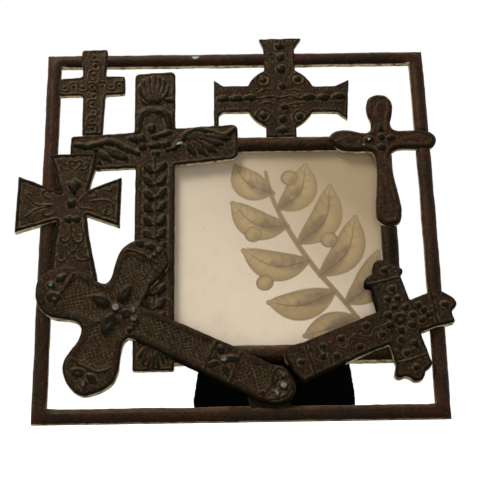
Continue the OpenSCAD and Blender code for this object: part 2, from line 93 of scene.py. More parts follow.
def add(tree, kind, inputs=None, **settings):
    """Adds a node with its settings. An input is a plain value or another node's output."""
    node = tree.nodes.new(kind)
    for name, value in settings.items():
        setattr(node, name, value)
    for name, value in (inputs or {}).items():
        if isinstance(value, bpy.types.NodeSocket):
            tree.links.new(value, node.inputs[name])
        else:
            node.inputs[name].default_value = value
    return node


def new_material(name):
    """An empty material, its node tree and the place that its patterns are drawn from."""
    material = bpy.data.materials.new(name)
    material.use_nodes = True
    tree = material.node_tree
    tree.nodes.clear()
    return material, tree, add(tree, "ShaderNodeTexCoord").outputs["Object"]


# %% The camera at the photograph's place
camera = bpy.data.objects.new("camera", bpy.data.cameras.new("camera"))
camera.location = (-0.00113, -0.70682, 0.02381)
camera.rotation_euler = [math.radians(a) for a in (96.664, 0.854, -0.387)]
camera.data.sensor_width = 36
camera.data.lens = 89.18
camera.data.clip_start = 0.01
bpy.context.scene.collection.objects.link(camera)
bpy.context.scene.camera = camera
bpy.context.scene.view_settings.view_transform = "Standard"

# %% The soft lamps
def soft_lamp(name, place, aim, size, watts):
    """A square lamp that points at a spot on the frame."""
    light = bpy.data.lights.new(name, "AREA")
    light.size = size
    light.energy = watts
    lamp = bpy.data.objects.new(name, light)
    lamp.location = place
    lamp.rotation_euler = (Vector(aim) - Vector(place)).to_track_quat("-Z", "Y").to_euler()
    bpy.context.scene.collection.objects.link(lamp)


MIDDLE = (0, 0, 0.12)
soft_lamp("lamp_above", (-0.30, -0.30, 0.82), MIDDLE, 0.3, 7.4)
soft_lamp("lamp_front", (0.45, -0.95, 0.30), MIDDLE, 0.6, 1.4)

# %% The white ground
PALE_DAY = 0.22                 # the world's own light on the object
DIM_ROOM = 0.12                 # what polish mirrors of the room behind the camera
WHITE = (1, 1, 1, 1)


def seen_or_mirrored(tree):
    """1 for a ray from the camera, off polish or through glass, and 0 for all others."""
    rays = add(tree, "ShaderNodeLightPath").outputs
    share = rays["Is Camera Ray"]
    for other in ("Is Glossy Ray", "Is Transmission Ray"):
        share = add(tree, "ShaderNodeMath", {0: share, 1: rays[other]},
                    operation="MAXIMUM").outputs[0]
    return share


world = bpy.data.worlds.new("studio")
bpy.context.scene.world = world
world.use_nodes = True
tree = world.node_tree
tree.nodes.clear()
incoming = add(tree, "ShaderNodeNewGeometry").outputs["Incoming"]
way = add(tree, "ShaderNodeSeparateXYZ", {0: incoming}).outputs["Y"]
room = add(tree, "ShaderNodeMapRange", {
    "Value": way, "From Min": -0.35, "From Max": 0.3, "To Min": 1.0, "To Max": DIM_ROOM})
glossy = add(tree, "ShaderNodeLightPath").outputs["Is Glossy Ray"]
mirrored = add(tree, "ShaderNodeMapRange", {
    "Value": glossy, "To Min": 1.0, "To Max": room.outputs[0]})
strength = add(tree, "ShaderNodeMapRange", {
    "Value": seen_or_mirrored(tree), "To Min": PALE_DAY, "To Max": mirrored.outputs[0]})
sky = add(tree, "ShaderNodeBackground", {"Color": WHITE, "Strength": strength.outputs[0]})
add(tree, "ShaderNodeOutputWorld", {"Surface": sky.outputs[0]})

floor_paper, tree, _ = new_material("white_table_paper")
paper = add(tree, "ShaderNodeBsdfDiffuse", {"Color": hex_colour("#e6e6e4")}).outputs[0]
glow = add(tree, "ShaderNodeEmission", {"Color": WHITE, "Strength": 0.86}).outputs[0]
lit = add(tree, "ShaderNodeAddShader", {0: paper, 1: glow}).outputs[0]
both = add(tree, "ShaderNodeMixShader", {0: seen_or_mirrored(tree), 1: paper, 2: lit})
add(tree, "ShaderNodeOutputMaterial", {"Surface": both.outputs[0]})


def mesh_object(name, bm, material=None):
    """Turns a bmesh into an object in the scene."""
    mesh = bpy.data.meshes.new(name)
    bm.to_mesh(mesh)
    bm.free()
    piece = bpy.data.objects.new(name, mesh)
    bpy.context.scene.collection.objects.link(piece)
    if material:
        mesh.materials.append(material)
    return piece


bm = bmesh.new()
bmesh.ops.create_grid(bm, x_segments=1, y_segments=1, size=6)
floor = mesh_object("floor", bm, floor_paper)
print("floor and world are in place")

# %% [markdown]
# ## The iron
# The castings are iron with a brown patina under wax. Its reddish brown ground is mottled
# with olive, rust and small dark pits. Each casting's mesh carries numbers at every
# point: proud is how far the point stands above its wide surroundings in millimetres,
# crease how deep it lies beside its near ones, ledge how far it faces up, wall marks the
# sides of the casting (below zero where they get painted shade), edge its rounded edge and
# plain the smoother castings. Handling has darkened what stands proud, and the edges are
# darker. Khaki dust lies in the creases, and on the ledges it is dust and painted light
# from above. Undersides get painted shade. The sides show paler bare metal, where the dry
# skin of the mould is left, painted palest underneath as painted light from the white floor.
# Pale tops on some beads are rubbed metal and painted highlights. In the sunk panels,
# thread_a and thread_b count the crossed cords up to each place, and dust picks the cords
# out. The material turns the numbers into these, so the wear follows the real carving.

# %% Layers of colour and of fine relief
RANGE = ("Value", "From Min", "From Max", "To Min", "To Max")  # what a factor gives


def product(tree, *factors):
    """Multiplies numbers and outputs. A factor (value, low, high) is 0 where the value is at
    low and 1 where it is at high. Two more numbers take the place of this 0 and 1."""
    shares = [add(tree, "ShaderNodeMapRange", dict(zip(RANGE, factor))).outputs[0]
              if isinstance(factor, tuple) else factor for factor in factors]
    total = shares[0]
    for share in shares[1:]:
        total = add(tree, "ShaderNodeMath", {0: total, 1: share}, operation="MULTIPLY").outputs[0]
    return total


def paint(tree, colour, *coats):
    """Lays coats over a colour. Each is a colour, then the factors of how much it covers. A
    colour is a hex code or another node's output."""
    for coat, *factors in coats:
        below, above = (hex_colour(c) if isinstance(c, str) else c for c in (colour, coat))
        colour = add(tree, "ShaderNodeMix", {0: product(tree, *factors), 6: below, 7: above},
                     data_type="RGBA").outputs[2]
    return colour


def finished(material, inputs, *reliefs):
    """Gives a material its shader. A fine relief is (height, strength, depth in millimetres),
    and each one lies on the last."""
    tree = material.node_tree
    normal = {}
    for height, strength, depth_mm in reliefs:
        bump = add(tree, "ShaderNodeBump", {
            "Height": height, "Strength": strength, "Distance": depth_mm / 1000, **normal})
        normal = {"Normal": bump.outputs[0]}
    shader = add(tree, "ShaderNodeBsdfPrincipled", {**inputs, **normal})
    add(tree, "ShaderNodeOutputMaterial", {"Surface": shader.outputs[0]})
    return material


# %% Waxed patina on cast iron
def waxed_patina():
    """Cast iron, browned and waxed: satin, dark, mottled, handled on the high places."""
    material, tree, place = new_material("waxed_brown_cast_iron")
    proud, crease, ledge, edge, wall, bright, chip, plain, panel, *threads = (
        add(tree, "ShaderNodeAttribute", attribute_name=name).outputs["Fac"]
        for name in ("proud", "crease", "ledge", "edge", "wall", "bright", "chip", "plain",
                     "panel", "thread_a", "thread_b"))
    smoke, cloud, dirt, bare, spot, speck, grain = (
        add(tree, "ShaderNodeTexNoise", {
            "Vector": place, "Scale": 1000 / size_mm, "Detail": detail}).outputs[0]
        for size_mm, detail in ((24, 5), (19, 4), (6, 4), (4, 4), (2.1, 3), (1.3, 2), (0.5, 1)))
    fine = product(tree, (plain, 0, 1, 1.0, 0.75))
    dark = product(tree, (proud, 0.12, 0.45), (dirt, 0.1, 0.4))
    # Khaki in the creases is dust; khaki on up-facing ledges is dust and also painted light from
    # above.
    dust_and_top_light = add(tree, "ShaderNodeMath", {
        0: product(tree, (crease, 0.03, 0.18), (spot, 0.42, 0.62)),
        1: product(tree, (ledge, 0.45, 0.85), (dirt, 0.34, 0.6))}, operation="MAXIMUM").outputs[0]
    gaps = [add(tree, "ShaderNodeMath", {0: run, 1: 0.5}, operation="PINGPONG").outputs[0]
            for run in threads]
    gap = add(tree, "ShaderNodeMath", dict(enumerate(gaps)), operation="MINIMUM").outputs[0]
    # The sides' colour: paler bare metal, painted palest where they face down, as painted light
    # from the white floor below.
    skin = paint(tree, paint(tree, "#6f5741", ("#a08566", speck)),
                 (paint(tree, "#ab9b72", ("#ddd0a6", speck)), (ledge, 0.1, -0.5)))
    colour = paint(
        tree, "#1d140d", ("#2f1d16", (cloud, 0.36, 0.64)),
        ("#232114", (dirt, 0.47, 0.6), 0.8),  # olive mottling
        ("#45271c", plain, 0.7),  # redder bars
        ("#1d1b14", plain, (smoke, 0.4, 0.6), 0.7),  # their smoky part
        ("#3b231b", (spot, 0.48, 0.66), 0.55),  # rust
        ("#4a3e27", (speck, 0.52, 0.7), (spot, 0.56, 0.4), fine),  # khaki flecks
        ("#0f0b07", (speck, 0.5, 0.32), 0.7, fine),  # pits
        ("#10110b", dark, 0.9),  # handled places
        ("#0c0a06", (ledge, 0.2, -0.3), (plain, 3.0, -1.2)),  # painted shade on undersides, stronger where plain is lower
        ("#5c4c32", dust_and_top_light, (panel, 0.8, 0), (plain, 2.2, 0), 0.72),  # khaki dust in creases; on up-facing ledges, dust and painted light from above
        ("#20170f", panel, 0.4),  # sunk panels
        ("#5a4c33", (gap, 0.13, 0.03), panel, (spot, 0.36, 0.66), 0.85),  # their cords
        ("#8f8570", (grain, 0.7, 0.78), (dirt, 0.5, 0.6), fine),  # white dust
        ("#13120c", edge),  # darker rounded edges; on the webs, painted shade between the parts
        (skin, wall, (bare, 0.3, 0.55)),  # bare sides, palest underneath as painted light from the floor below
        ("#0c0a06", (wall, -0.2, -0.9)),  # painted shade on the sides before the strut and in the dark boxes
        ("#8b8780", bright, (speck, 0.35, 0.6)),  # rubbed bright metal and painted highlights on bead tops
        ("#b3c6ad", chip, 0.85))  # old paint; on the drop-footed cross, painted glints
    gloss = product(tree, (dark, 0, 1, 0.08, 0.12), (wall, -0.8, -0.1), (edge, 1.1, 0.1),
                    (ledge, -0.7, 0.1))
    return finished(material, {
        "Base Color": colour, "Roughness": product(tree, (dark, 0, 1, 0.5, 0.4)),
        "Specular IOR Level": gloss, "Specular Tint": hex_colour("#e0c8a0")},
        (grain, 0.3, 0.1), (speck, 0.5, 0.2))


iron = waxed_patina()

# %% [markdown]
# ## How a cross is carved
# A cross was cast in a sand mould from a carved master: a flat plate with a rounded
# edge, and ornament that stands up from it or is cut into it. Modelling each scroll and
# leaf as its own mesh would give hard joins that a casting never has. So the plate is
# made from its outline, given a fine even mesh, and its front is then carved: a height
# map is drawn with a few chisel strokes (ridges, leaves, beads, hatching), and every
# point of the mesh is raised or lowered to the map.

# %% Lines through listed points
def smooth_line(points, closed=False, steps=6):
    """A line through given points. (x, y) lies on a smooth stretch, and (x, y, r) is a
    corner of radius r."""
    count = len(points)
    spots = [np.array(p[:2], float) for p in points]
    corner = [len(p) == 3 for p in points]

    def lean_at(i):
        before, after = spots[(i - 1) % count], spots[(i + 1) % count]
        first, last = (i == 0 and not closed), (i == count - 1 and not closed)
        if first or corner[(i - 1) % count]:
            way = after - spots[i]
        elif last or corner[(i + 1) % count]:
            way = spots[i] - before
        else:
            way = after - before
        return way / max(np.linalg.norm(way), 1e-9)

    line = []
    for i, here in enumerate(spots):
        after = spots[(i + 1) % count]
        if corner[i]:
            start, end = (
                here + (other - here) * min(points[i][2] / np.linalg.norm(other - here), 0.45)
                for other in (spots[i - 1], after))
            line += [start * (1 - t) ** 2 + here * 2 * t * (1 - t) + end * t * t
                     for t in np.linspace(0, 1, steps)]
            continue
        line.append(here)
        if (i == count - 1 and not closed) or corner[(i + 1) % count]:
            continue
        reach = np.linalg.norm(after - here)
        leave, arrive = lean_at(i) * reach, lean_at((i + 1) % count) * reach
        for t in np.linspace(0, 1, steps, endpoint=False)[1:]:
            line.append((2 * t**3 - 3 * t**2 + 1) * here + (t**3 - 2 * t**2 + t) * leave
                        + (3 * t**2 - 2 * t**3) * after + (t**3 - t**2) * arrive)
    return np.array(line)


def closed_up(line):
    """A closed line with its first point once more at its end."""
    return np.vstack([line, line[:1]])


def arc(radius, start, end, steps=6, middle=(0, 0)):
    """Points round a middle, from one angle to another in degrees."""
    return [(middle[0] + radius * math.cos(a), middle[1] + radius * math.sin(a))
            for a in np.radians(np.linspace(start, end, steps))]


# %% Distances on the height map
def along(x, y, line):
    """How far each place is from a line, and where along it the nearest point lies, 0 to 1."""
    steps = np.hypot(*np.diff(line, axis=0).T)
    best = np.full(np.broadcast(x, y).shape, np.inf)
    share = np.zeros_like(best)
    done = 0
    for (ax, ay), (bx, by), step in zip(line, line[1:], steps):
        if step < 1e-9:
            continue
        t = np.clip(((x - ax) * (bx - ax) + (y - ay) * (by - ay)) / step**2, 0, 1)
        gap = np.hypot(x - ax - t * (bx - ax), y - ay - t * (by - ay))
        closer = gap < best
        best = np.where(closer, gap, best)
        share = np.where(closer, (done + t * step) / steps.sum(), share)
        done += step
    return best, share


def inside(x, y, line):
    """True where a place lies inside a closed line."""
    found = np.zeros(np.broadcast(x, y).shape, bool)
    for (ax, ay), (bx, by) in zip(line, np.roll(line, -1, axis=0)):
        if ay != by:
            crosses = (y >= min(ay, by)) & (y < max(ay, by))
            found ^= crosses & (x < ax + (y - ay) * (bx - ax) / (by - ay))
    return found


def soften(field, reach):
    """Each square of a map takes the mean of those round it, twice over."""
    for axis in (0, 1, 0, 1):
        field = sum(np.roll(field, s, axis) for s in range(-reach, reach + 1)) / (2 * reach + 1)
    return field


def wander(x, y, size, seed=0.0):
    """A smooth wave between -1 and 1 that never repeats closely, about size across."""
    u, v = x / size + seed, y / size - 0.7 * seed
    return (np.sin(3.1 * u + 2.3 * np.sin(1.7 * v))
            + np.sin(2.7 * v + 2.1 * np.sin(1.9 * u + 1.3))) / 2


def dome(out, power=0.6):
    """A rounded section: 1 in the middle, and 0 where out reaches 1."""
    return np.clip(1 - out**2, 0, 1) ** power


def highest(field, where, values):
    """Raises a part of a map to new values where they are higher."""
    field[where] = np.maximum(field[where], values)


# %% The carving bench
SQUARE = 0.25                   # size of a height map's squares, mm
DEEPEST = 12                    # distances from the edge are measured up to here, mm
RELIEF = 1.5                    # makes all raised carving this much bolder
HIGHEST = 1.8                   # and nothing stands higher above the face than this, mm
MARGIN = 2.0                    # the map reaches this far past the outline, mm
MOAT = 0.16                     # depth of the fine moat round an oval, mm
NEAR, WIDE = 2, 13              # squares whose mean a place is held against to be proud


class Carving:
    """The height map of one casting's front. Forms that meet join, as if pressed in wax."""

    def __init__(self, corners, steps=6):
        border = smooth_line(corners, True, steps) if steps else np.array(corners)
        self.border = border
        self.low, high = border.min(0) - MARGIN, border.max(0) + MARGIN
        self.x = np.arange(self.low[0], high[0], SQUARE)[None, :]
        self.y = np.arange(self.low[1], high[1], SQUARE)[:, None]
        shape = np.broadcast(self.x, self.y).shape
        (self.raised, self.sunk, self.bright, self.chips, self.panel, self.thread_a,
         self.thread_b) = np.zeros((7, *shape))
        # The rounded edge is made this much darker.
        self.dark_edge = 0.35
        inset = np.full(shape, float(DEEPEST))
        ring = closed_up(border)
        for pair in zip(ring, ring[1:]):
            where, x, y = self.near(pair, DEEPEST)
            inset[where] = np.minimum(inset[where], along(x, y, np.array(pair))[0])
        self.inset = np.where(inside(self.x, self.y, border), inset, -inset)

    def near(self, points, reach):
        """The part of the map within reach of some points, and its x and y."""
        points = np.array([p[:2] for p in points], float)
        first = np.maximum(((points.min(0) - reach - self.low) / SQUARE).astype(int), 0)
        last = np.maximum(((points.max(0) + reach - self.low) / SQUARE).astype(int) + 2, 1)
        cols, rows = slice(first[0], last[0]), slice(first[1], last[1])
        return (rows, cols), self.x[:, cols], self.y[rows]

    def stroke(self, points, width):
        """The part of the map near a line, and what along() tells of its squares."""
        line = smooth_line(points)
        where, x, y = self.near(line, width)
        return where, *along(x, y, line)

    def round_spot(self, shape):
        """The part of the map near an oval of (x, y, length, width, turn), its x and y, and
        how far out its squares lie, 1 on the rim."""
        middle_x, middle_y, length, width, turn = shape
        where, x, y = self.near([shape], max(length, width))
        a = math.radians(turn)
        dx, dy = x - middle_x, y - middle_y
        return where, x, y, np.hypot((dx * math.cos(a) + dy * math.sin(a)) / (length / 2),
                                     (dy * math.cos(a) - dx * math.sin(a)) / (width / 2))

    def ridge(self, points, width=1.4, height=0.5, taper=0.4):
        """A rounded cord along a line, thinner at its ends."""
        where, gap, share = self.stroke(points, width)
        half = width / 2 * (1 - taper * (2 * share - 1) ** 2)
        highest(self.raised, where, height * dome(gap / half))

    def groove(self, points, width=0.8, depth=0.4):
        """A cut along a line."""
        where, gap, _ = self.stroke(points, width)
        highest(self.sunk, where, depth * dome(gap / (width / 2), 1))

    def leaf(self, points, width=4.0, height=0.7, vein=0.35, swell=1.0):
        """A pointed leaf along a line, with a vein down its middle. It is widest halfway, or
        nearer its tip where swell is above 1."""
        where, gap, share = self.stroke(points, width)
        half = width / 2 * np.sin(np.pi * np.clip(share, 0.02, 0.98) ** swell) ** 0.7
        body = height * dome(gap / half, 0.5) - vein * np.exp(-(gap / 0.3) ** 2)
        highest(self.raised, where, np.maximum(body, 0))

    def oval(self, shape, height=0.8, dish=0.0, bright=0.0):
        """A domed oval with a fine moat round it. dish hollows its top, and bright paints it pale:
        rubbed metal and a painted highlight.
        """
        where, _, _, out = self.round_spot(shape)
        body = height * dome(out, 0.5) - dish * np.exp(-(out / 0.45) ** 2)
        highest(self.raised, where, np.maximum(body, 0))
        highest(self.bright, where, bright * np.clip(1.6 - 2 * out, 0, 1))
        rim = (out - 1) * min(shape[2:4]) / 2 - 0.25
        highest(self.sunk, where, MOAT * np.exp(-(rim / 0.35) ** 2))

    def bead(self, middle, radius=1.7, height=0.8, bright=0.0):
        self.oval((*middle, 2 * radius, 2 * radius, 0), height, 0.0, bright)

    def chip(self, shape):
        """A pale mark where the patina has flaked off, which shows old paint; on the drop-footed
        cross it is a painted glint.
        """
        where, x, y, out = self.round_spot(shape)
        ragged = out + 0.35 * wander(x, y, 1.3)
        highest(self.chips, where, np.clip(2 * (1.2 - ragged), 0, 1))

    def fan(self, root, reach, spread, flutes, height=1.3):
        """A scallop of round-topped flutes that rise from a root and curve outwards. Its tips
        spread by this many degrees to each side."""
        where, x, y = self.near([root], reach)
        dx, dy = x - root[0], y - root[1]
        out = np.hypot(dx, dy)
        flare = 1 + 1.2 * np.clip(1 - out / reach, 0, 1)
        lean = np.degrees(np.arctan2(dx, dy)) / (spread * flare)
        aside = 2 * ((lean + 1) / 2 * flutes % 1) - 1
        tip = reach * (1 - 0.27 * lean**2) - 1.3 * aside**2
        wide = np.clip(out * math.radians(2 * spread / flutes) / 2.6, 0, 1)
        body = np.clip(1 - wide * aside**2, 0, 1) ** 0.5 * np.clip((tip - out) / 1.2, 0, 1) ** 0.5
        body *= np.clip(out / 3, 0, 1)
        highest(self.raised, where, height * np.where(abs(lean) < 1, body, 0))

    def ring(self, middle, radius, width=0.9, height=0.45):
        where, x, y = self.near([middle], radius + width)
        gap = np.hypot(x - middle[0], y - middle[1]) - radius
        highest(self.raised, where, height * dome(gap / (width / 2)))

    def rim(self, start, width=1.2, height=0.5):
        """A raised band that runs all round, at a distance from the edge."""
        gap = self.inset - start - width / 2
        highest(self.raised, ..., height * dome(gap / (width / 2)))

    def score(self, start, width=0.8, depth=0.35):
        """A cut line that runs all round, at a distance from the edge."""
        highest(self.sunk, ..., depth * dome((self.inset - start) / (width / 2), 1))

    def hatched(self, points, turn=0.0, pitch=2.0, depth=0.4, drop=0.6):
        """A sunk panel with sloping sides, scored with two sets of fine lines. The count of
        lines up to each place is kept, so that the material can draw them finely."""
        line = smooth_line(points, closed=True)
        where, x, y = self.near(line, 1)
        edge, _ = along(x, y, closed_up(line))
        field = np.where(inside(x, y, line), np.clip(edge / 1.8, 0, 1), 0)
        cuts = 0
        for count, way, wide in ((self.thread_a, turn + 38, 1.15),
                                 (self.thread_b, turn - 50, 0.9)):
            a = math.radians(way)
            run = (x * math.cos(a) + y * math.sin(a)) / (pitch * wide) + 0.35 * wander(x, y, 9, way)
            count[where] = np.where(field > 0, run, count[where])
            cuts = np.maximum(cuts, np.clip((np.cos(2 * math.pi * run) - 0.35) / 0.65, 0, 1))
        highest(self.panel, where, np.clip(2.2 * field - 0.6, 0, 1))
        highest(self.sunk, where, field * (drop + depth * cuts))

    def flat(self, points):
        """No form is raised inside these corners, where another casting lies on top."""
        self.raised[inside(self.x, self.y, np.array(points, float))] = 0

    def heights(self, face, edge):
        """The map of heights, how proud each square stands, and how deep in a crease. The
        raised forms are worn lower in places."""
        round_w, round_d = edge
        slope = np.clip(1 - self.inset / round_w, 0, 1)
        cut = self.sunk * np.clip(1 - self.raised / 0.3, 0, 1)
        worn = 1 + 0.22 * wander(self.x, self.y, 11, face)
        relief = np.minimum(RELIEF * worn * self.raised, HIGHEST) - cut
        relief *= np.clip(self.inset / 0.7, 0, 1)
        field = face - round_d * slope**2 + relief
        field = np.where(self.inset < -SQUARE, face - 0.6 * round_d, soften(field, 1))
        proud = soften(relief, NEAR) - soften(relief, WIDE)
        return field, proud, soften(relief, 3) - relief

    def sample(self, field, x, y):
        """A map's values at some places, between its squares."""
        rows, cols = field.shape
        col = np.clip((x - self.low[0]) / SQUARE, 0, cols - 1.001)
        row = np.clip((y - self.low[1]) / SQUARE, 0, rows - 1.001)
        c, r = col.astype(int), row.astype(int)
        fc, fr = col - c, row - r
        return (field[r, c] * (1 - fc) * (1 - fr) + field[r, c + 1] * fc * (1 - fr)
                + field[r + 1, c] * (1 - fc) * fr + field[r + 1, c + 1] * fc * fr)


def each(stroke, places, *settings):
    """Makes the same kind of stroke at each place."""
    for place in places:
        stroke(place, *settings)


# %% [markdown]
# ## From the map to the mesh
# The plate starts as one bmesh face through its outline, extruded to its thickness. A
# voxel remesh gives it an even skin of small squares, which subdivision can't do on an
# outline with so many corners. Each point is then scaled between the flat back and the
# map, and a slow noise makes the back and the sides as uneven as sand casting leaves
# them.

# %% Casting a cross
BACK = 1.0                      # the castings' flat backs lie this far in front of the glass
STRUT_SHADE = (-28, 62, 0, 31)  # before the strut, where the sides get painted shade
SHARP_DEG = 55                  # edges that turn by more than this stay sharp


def verts_in(geom):
    return [v for v in geom if isinstance(v, bmesh.types.BMVert)]


def pushed(points, way):
    """A solid: a flat face through some points, pushed along a vector."""
    bm = bmesh.new()
    face = bm.faces.new([bm.verts.new(p) for p in points])
    grown = bmesh.ops.extrude_face_region(bm, geom=[face])["geom"]
    bmesh.ops.translate(bm, vec=way, verts=verts_in(grown))
    return bm


def plate(name, border, top, voxel):
    """An iron plate from the castings' back up to its top, with an even skin."""
    bm = pushed([(*p, BACK) for p in border], (0, 0, top - BACK))
    bmesh.ops.recalc_face_normals(bm, faces=bm.faces)
    return remeshed(mesh_object(name, bm, iron), voxel)


def remeshed(piece, size):
    """Gives a piece an even skin of squares of this size, in millimetres."""
    voxels = piece.modifiers.new("voxels", "REMESH")
    voxels.mode, voxels.voxel_size = "VOXEL", size
    view = bpy.context.evaluated_depsgraph_get()
    fine = bpy.data.meshes.new_from_object(piece.evaluated_get(view))
    piece.modifiers.remove(voxels)
    old, piece.data = piece.data, fine
    bpy.data.meshes.remove(old)
    return piece


def rows_of(items, name):
    """The vectors of a mesh's points, one to a row."""
    rows = np.empty(len(items) * 3, np.float32)
    items.foreach_get(name, rows)
    return rows.reshape(-1, 3)


def points_of(mesh):
    return rows_of(mesh.vertices, "co")


def normals_of(mesh):
    return rows_of(mesh.vertex_normals, "vector")


def set_points(mesh, spots):
    mesh.vertices.foreach_set("co", spots.astype(np.float32).ravel())
    mesh.update()


def set_numbers(mesh, **numbers):
    """Stores numbers of these names at every point of a mesh, for a material to read."""
    for name, values in numbers.items():
        values = np.broadcast_to(np.asarray(values, np.float32), len(mesh.vertices))
        mesh.attributes.new(name, "FLOAT", "POINT").data.foreach_set("value", values.copy())


def uneven(mesh, seed, *swells, shrink=0.0):
    """Moves every point along its normal by slow noises, as in a sand casting. Each swell is
    (depth, size in millimetres, step of the seed)."""
    for depth, size_mm, step in swells:
        mesh.update()
        shift = Vector(((seed + step) * 31.7, (seed + step) * 11.3, 0))
        spots = points_of(mesh)
        swell = np.array([noise.noise(Vector(p) / size_mm + shift) for p in spots.tolist()])
        set_points(mesh, spots + normals_of(mesh) * (depth * (swell - shrink))[:, None])


def settle(piece, body, at=(0, 0), turn=0.0, nodes=()):
    """Stands a drawn piece up in its place, on its body, in place of its solids. Nothing
    reaches below the table."""
    piece.data.transform(STAND @ Matrix.Translation((*at, 0))
                         @ Matrix.Rotation(math.radians(turn), 4, "Z"))
    spots = points_of(piece.data)
    spots[:, 2] = np.maximum(spots[:, 2], 0)
    set_points(piece.data, spots)
    for polygon in piece.data.polygons:
        polygon.use_smooth = True
    piece.data.set_sharp_from_angle(angle=math.radians(SHARP_DEG))
    set_numbers(piece.data, ledge=normals_of(piece.data)[:, 2])
    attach(piece, body)
    if nodes:
        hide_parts(*nodes)
    print(f"{piece.name}: {len(piece.data.polygons)} faces")
    return piece


def in_box(x, y, box):
    """True inside a box of the drawing board: left, right, low, high."""
    left, right, low, high = box
    return (x > left) & (x < right) & (y > low) & (y < high)


covers = []                     # where each cross lies on the drawing board, for the bars


def cast_cross(name, carving, face, edge, at, turn=0.0, seed=1, voxel=0.42, plain=0.0,
               dark_boxes=()):
    """Makes one carved cross and notes the ground it covers. Its sides are worn bare, but
    before the strut and in the other dark boxes they get painted shade instead."""
    piece = plate(name + "_casting", carving.border, face, voxel)
    mesh = piece.data
    heights, proud, crease = carving.heights(face, edge)
    spots = points_of(mesh)
    x, y, z = spots.T
    x, y = x + 0.22 * wander(x, y, 4.2, seed), y + 0.22 * wander(y, x, 4.2, seed)
    share = np.clip((z - BACK) / (face - BACK), 0, 1)
    spots[:, 2] = BACK + share * (carving.sample(heights, x, y) - BACK)
    set_points(mesh, spots)
    rounded = np.clip(1.5 - carving.sample(carving.inset, x, y) / 1.1, 0, 1)
    fronts = {"proud": proud, "crease": crease, "bright": carving.bright, "chip": carving.chips,
              "panel": carving.panel * (carving.raised < 0.15),
              "thread_a": carving.thread_a, "thread_b": carving.thread_b}
    set_numbers(mesh, edge=carving.dark_edge * rounded * (share > 0.6), plain=plain,
                **{key: carving.sample(field, x, y) * (share > 0.6)
                   for key, field in fronts.items()})
    a = math.radians(turn)
    spin = np.array([[math.cos(a), math.sin(a)], [-math.sin(a), math.cos(a)]])
    across, up = (spots[:, :2] @ spin + at).T
    # Sides before the strut and in the dark boxes are marked below zero, for painted shade.
    in_painted_shade = np.any([in_box(across, up, box) for box in (STRUT_SHADE, *dark_boxes)], axis=0)
    side = np.clip((0.99 - share) * 10, 0, 1) * (share > 0.04)
    set_numbers(mesh, wall=np.where(in_painted_shade, -np.clip(4 - 4 * share, 0, 1), side))
    uneven(mesh, seed, (0.2, 6.0, 0), (0.1, 2.4, 7))
    covers.append(carving.border @ spin + at)
    return settle(piece, "root", at, turn, [name])


LIGHT_FACE, LIGHT_EDGE = 4.4, (1.2, 0.7)
HEAVY_FACE, HEAVY_EDGE = 7.1, (1.8, 1.5)

# %% [markdown]
# ## The scroll cross
# A small cross at the top left, over the bars. A thin waving vine with a dot in each bend
# runs along its arms, from a ring at the crossing.

# %% Scroll cross
scroll = Carving([
    (-7.3, 24, 1.6), (7.8, 24.2, 1.6), (8.3, 21.6, 1.5), (7.3, 5.5, 2), (19, 5.6, 1.3),
    (19.4, -6.9, 1.3), (7.4, -7.4, 2), (6.3, -34.4, 1), (-6, -34.4, 1), (-6.2, -7.6, 2),
    (-20.9, -7.8, 1.3), (-21.3, 4, 1.3), (-6.7, 5.2, 2), (-7.8, 21.4, 1.5)])
scroll.rim(0.5, 1.0, 0.3)
ARMS = (((0.4, 3), (0.3, 22.4), 1.5, 3.4), ((-4, -1.7), (-20, -1.8), 1.5, 2.9),
        ((2.6, -1.5), (18.4, -1), 1.5, 2.9), ((0, -5), (0, -33), 2.5, 3))
for start, end, waves, reach in ARMS:
    start, end = np.array(start), np.array(end)
    ahead = (end - start) / np.linalg.norm(end - start)
    aside = np.array([-ahead[1], ahead[0]])
    vine = []
    for t in np.linspace(0, 1, int(12 * waves) + 1):
        swing = 2 * math.pi * waves * t
        back = 1.35 * math.sin(2 * swing) / (4 * math.pi * waves)
        vine.append(start + (end - start) * (t - back) + aside * reach * math.sin(swing))
    scroll.ridge(vine, 1.1, 0.5, 0.2)
    for number in range(int(2 * waves)):
        t = (number + 0.5) / (2 * waves)
        scroll.bead(start + (end - start) * t + aside * reach * 0.1 * (-1) ** number, 1.2, 0.5)
for corner in ((-5.2, 3), (4, 3.6), (-5, -5.4), (3.8, -5.2)):
    scroll.ridge([(-0.8, -1.7), corner], 1.3, 0.45)
scroll.ring((-0.8, -1.7), 2.9, 1.2, 0.6)
scroll.bead((-0.8, -1.7), 1.2, 0.6)
cast_cross("scroll_cross", scroll, LIGHT_FACE, LIGHT_EDGE, (-86.4, 208.8), seed=1, voxel=0.32)

# %% [markdown]
# ## The shell cross
# The tall cross whose shaft is the window's left side. A scallop shell sits in its
# head, an arch and a knot of buds at the crossing, a wing on each arm, and pairs of
# leaves run down the shaft on a stem.

# %% Shell cross, its plate and its fan
shell = Carving([
    (-12.2, 50.7, 3.6), (12.3, 51.9, 3.6), (12.4, 13.3, 1.5), (49.8, 15.6, 4.5), (49.6, -7.3, 4.5),
    (12.2, -11.2, 1), (12.3, -136.6, 1.6), (-10.9, -136.6, 1.6), (-11.1, -12.6, 1), (-50.1, -14, 2),
    (-49.9, 8.8, 2), (-12, 10.9, 1.5)])
shell.rim(0.6, 1.3, 0.3)
shell.fan((-0.6, 28), 21, 31, 7)
shell.ridge([(-9.2, 33), (-6.4, 30.2), (-2.6, 28.6)], 2.6, 0.8)
shell.oval((8.4, 32, 7.4, 3.8, -18), 1.1)
shell.oval((4.8, 34, 3.4, 2.6, 0), 0.7)
shell.ridge([
    (-9.9, 11.6), (-9, 20.2), (-5.3, 24.4), (-0.7, 25.6), (3.8, 24.6), (7.6, 20.8),
    (9.3, 14)], 5.6, 0.9, 0.15)

